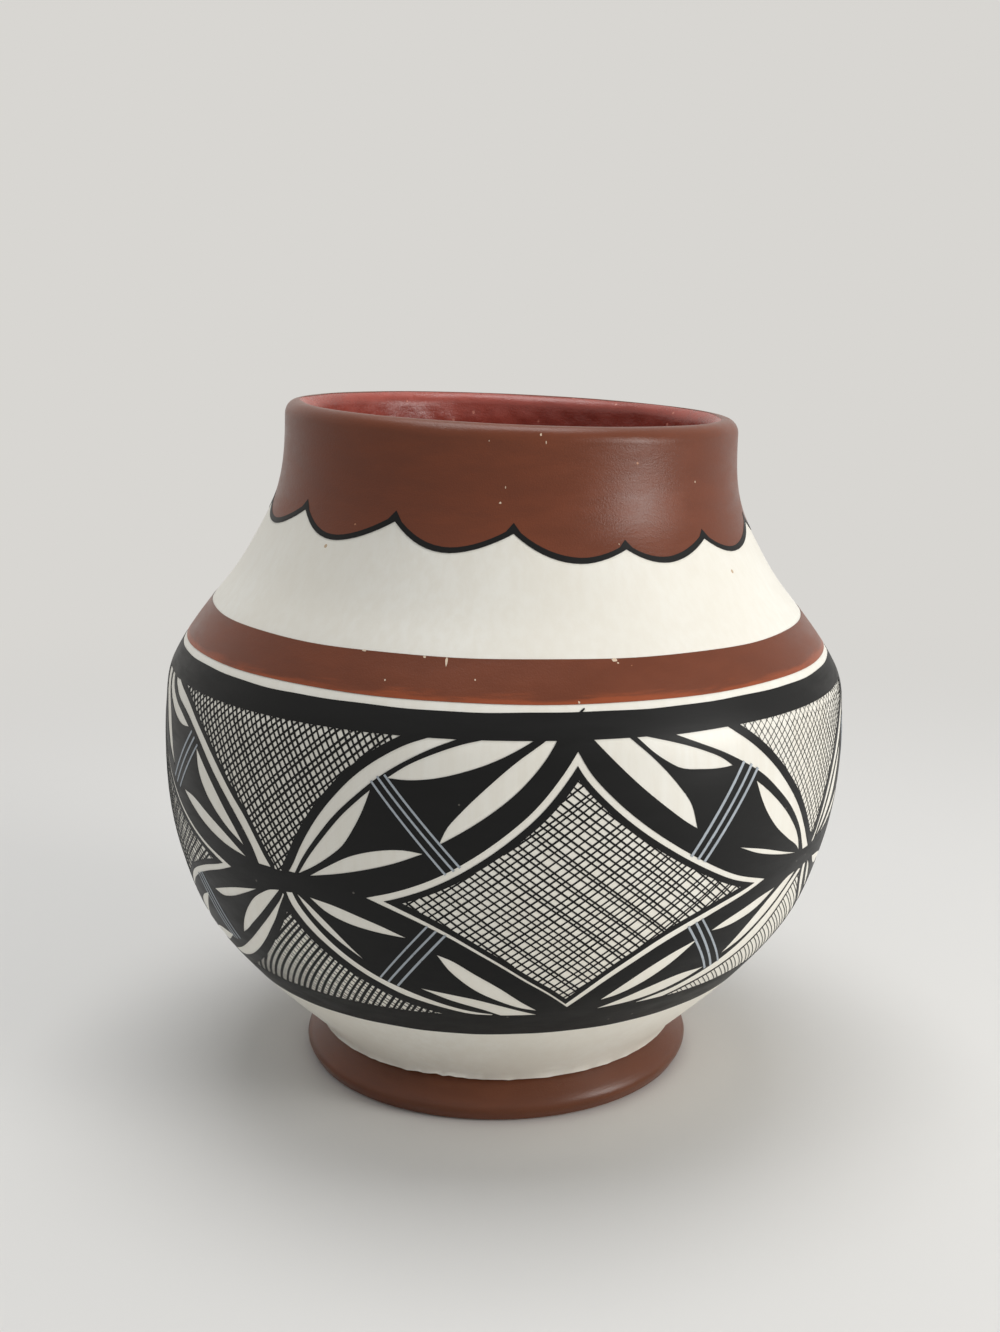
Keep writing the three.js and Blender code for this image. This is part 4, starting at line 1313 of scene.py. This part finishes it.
# %% [markdown]
# ## Studio
# The vase stands on a large pale floor that runs out into the background. A soft lamp like a window stands
# at the right and a little in front, as in the photograph. A wide one overhead lights the lip and the
# floor, and the world fills the shade.

# %% Floor
FLOOR_SIZE = 12
FLOOR_DROP = 0.0004
BACKGROUND = tone(216, 214, 210)


def seen_or_mirrored(tree):
    """One where a ray comes from the camera, a mirror image or through glass."""
    path = add_node(tree, "LightPath").outputs
    seen = calculated(tree, "ADD", path["Is Camera Ray"], path["Is Glossy Ray"], clamped=True)
    return calculated(tree, "ADD", seen, path["Is Transmission Ray"], clamped=True)


select_nothing()
bpy.ops.mesh.primitive_grid_add(
    x_subdivisions=8, y_subdivisions=8, size=FLOOR_SIZE, location=(0, 0, -FLOOR_DROP)
)
floor = bpy.context.object
floor.name = "floor"
bpy.ops.object.transform_apply(location=True)
floor_finish = bpy.data.materials.new("floor_finish")
floor_finish.use_nodes = True
tree = floor_finish.node_tree
shader = tree.nodes["Principled BSDF"]
shader.inputs["Base Color"].default_value = tone(228, 226, 222)
shader.inputs["Roughness"].default_value = 0.8
place = add_node(tree, "TexCoord").outputs["Object"]
length = add_node(tree, "VectorMath", {0: place}, operation="LENGTH").outputs["Value"]
blend = calculated(tree, "MULTIPLY", ramp(tree, length, 0.16, 0.75), seen_or_mirrored(tree))
glow = add_node(tree, "Emission", {"Color": BACKGROUND})
fade = add_node(tree, "MixShader", {0: blend, 1: shader.outputs[0], 2: glow.outputs[0]})
tree.links.new(fade.outputs[0], tree.nodes["Material Output"].inputs["Surface"])
floor.data.materials.append(floor_finish)

# %% World
world = bpy.data.worlds.new("studio")
bpy.context.scene.world = world
world.use_nodes = True
tree = world.node_tree
fill = tree.nodes["Background"]
fill.inputs["Color"].default_value = (0.93, 0.96, 1, 1)
fill.inputs["Strength"].default_value = 0.4
seen_world = add_node(tree, "Background", {"Color": BACKGROUND})
mix = add_node(tree, "MixShader", {0: seen_or_mirrored(tree), 1: fill.outputs[0], 2: seen_world.outputs[0]})
tree.links.new(mix.outputs[0], tree.nodes["World Output"].inputs["Surface"])
print("floor", tuple(floor.dimensions), "and world", world.name)

# %% Lamps and camera
LAMP_AIM = 0.1


def soft_lamp(name, angle, distance, height, width, tall, power, colour):
    """A rectangular lamp at an angle round the pot, turned towards it."""
    lamp = bpy.data.lights.new(name, "AREA")
    lamp.shape = "RECTANGLE"
    lamp.size = width
    lamp.size_y = tall
    lamp.energy = power
    lamp.color = colour
    stand = placed(name, lamp)
    turn = math.radians(angle)
    stand.location = (distance * math.sin(turn), -distance * math.cos(turn), height)
    tilt = math.atan2(height - LAMP_AIM, distance)
    stand.rotation_euler = (math.pi / 2 - tilt, 0, turn)


soft_lamp(
    "window", angle=65, distance=1.2, height=0.38, width=0.42, tall=0.6, power=7.6, colour=(1, 0.985, 0.96)
)
soft_lamp(
    "overhead", angle=180, distance=0.15, height=1.4, width=0.9, tall=0.9, power=10.3, colour=(1, 1, 1)
)

view = bpy.data.cameras.new("camera")
view.sensor_fit = "HORIZONTAL"
view.sensor_width = 36
view.lens = 61.2
view.clip_start = 0.01
camera = placed("camera", view)
camera.location = (-0.00016, -0.5103, 0.2365)
camera.rotation_euler = (math.radians(77.32), 0, math.radians(0.1))
bpy.context.scene.camera = camera
bpy.context.scene.view_settings.view_transform = "Standard"
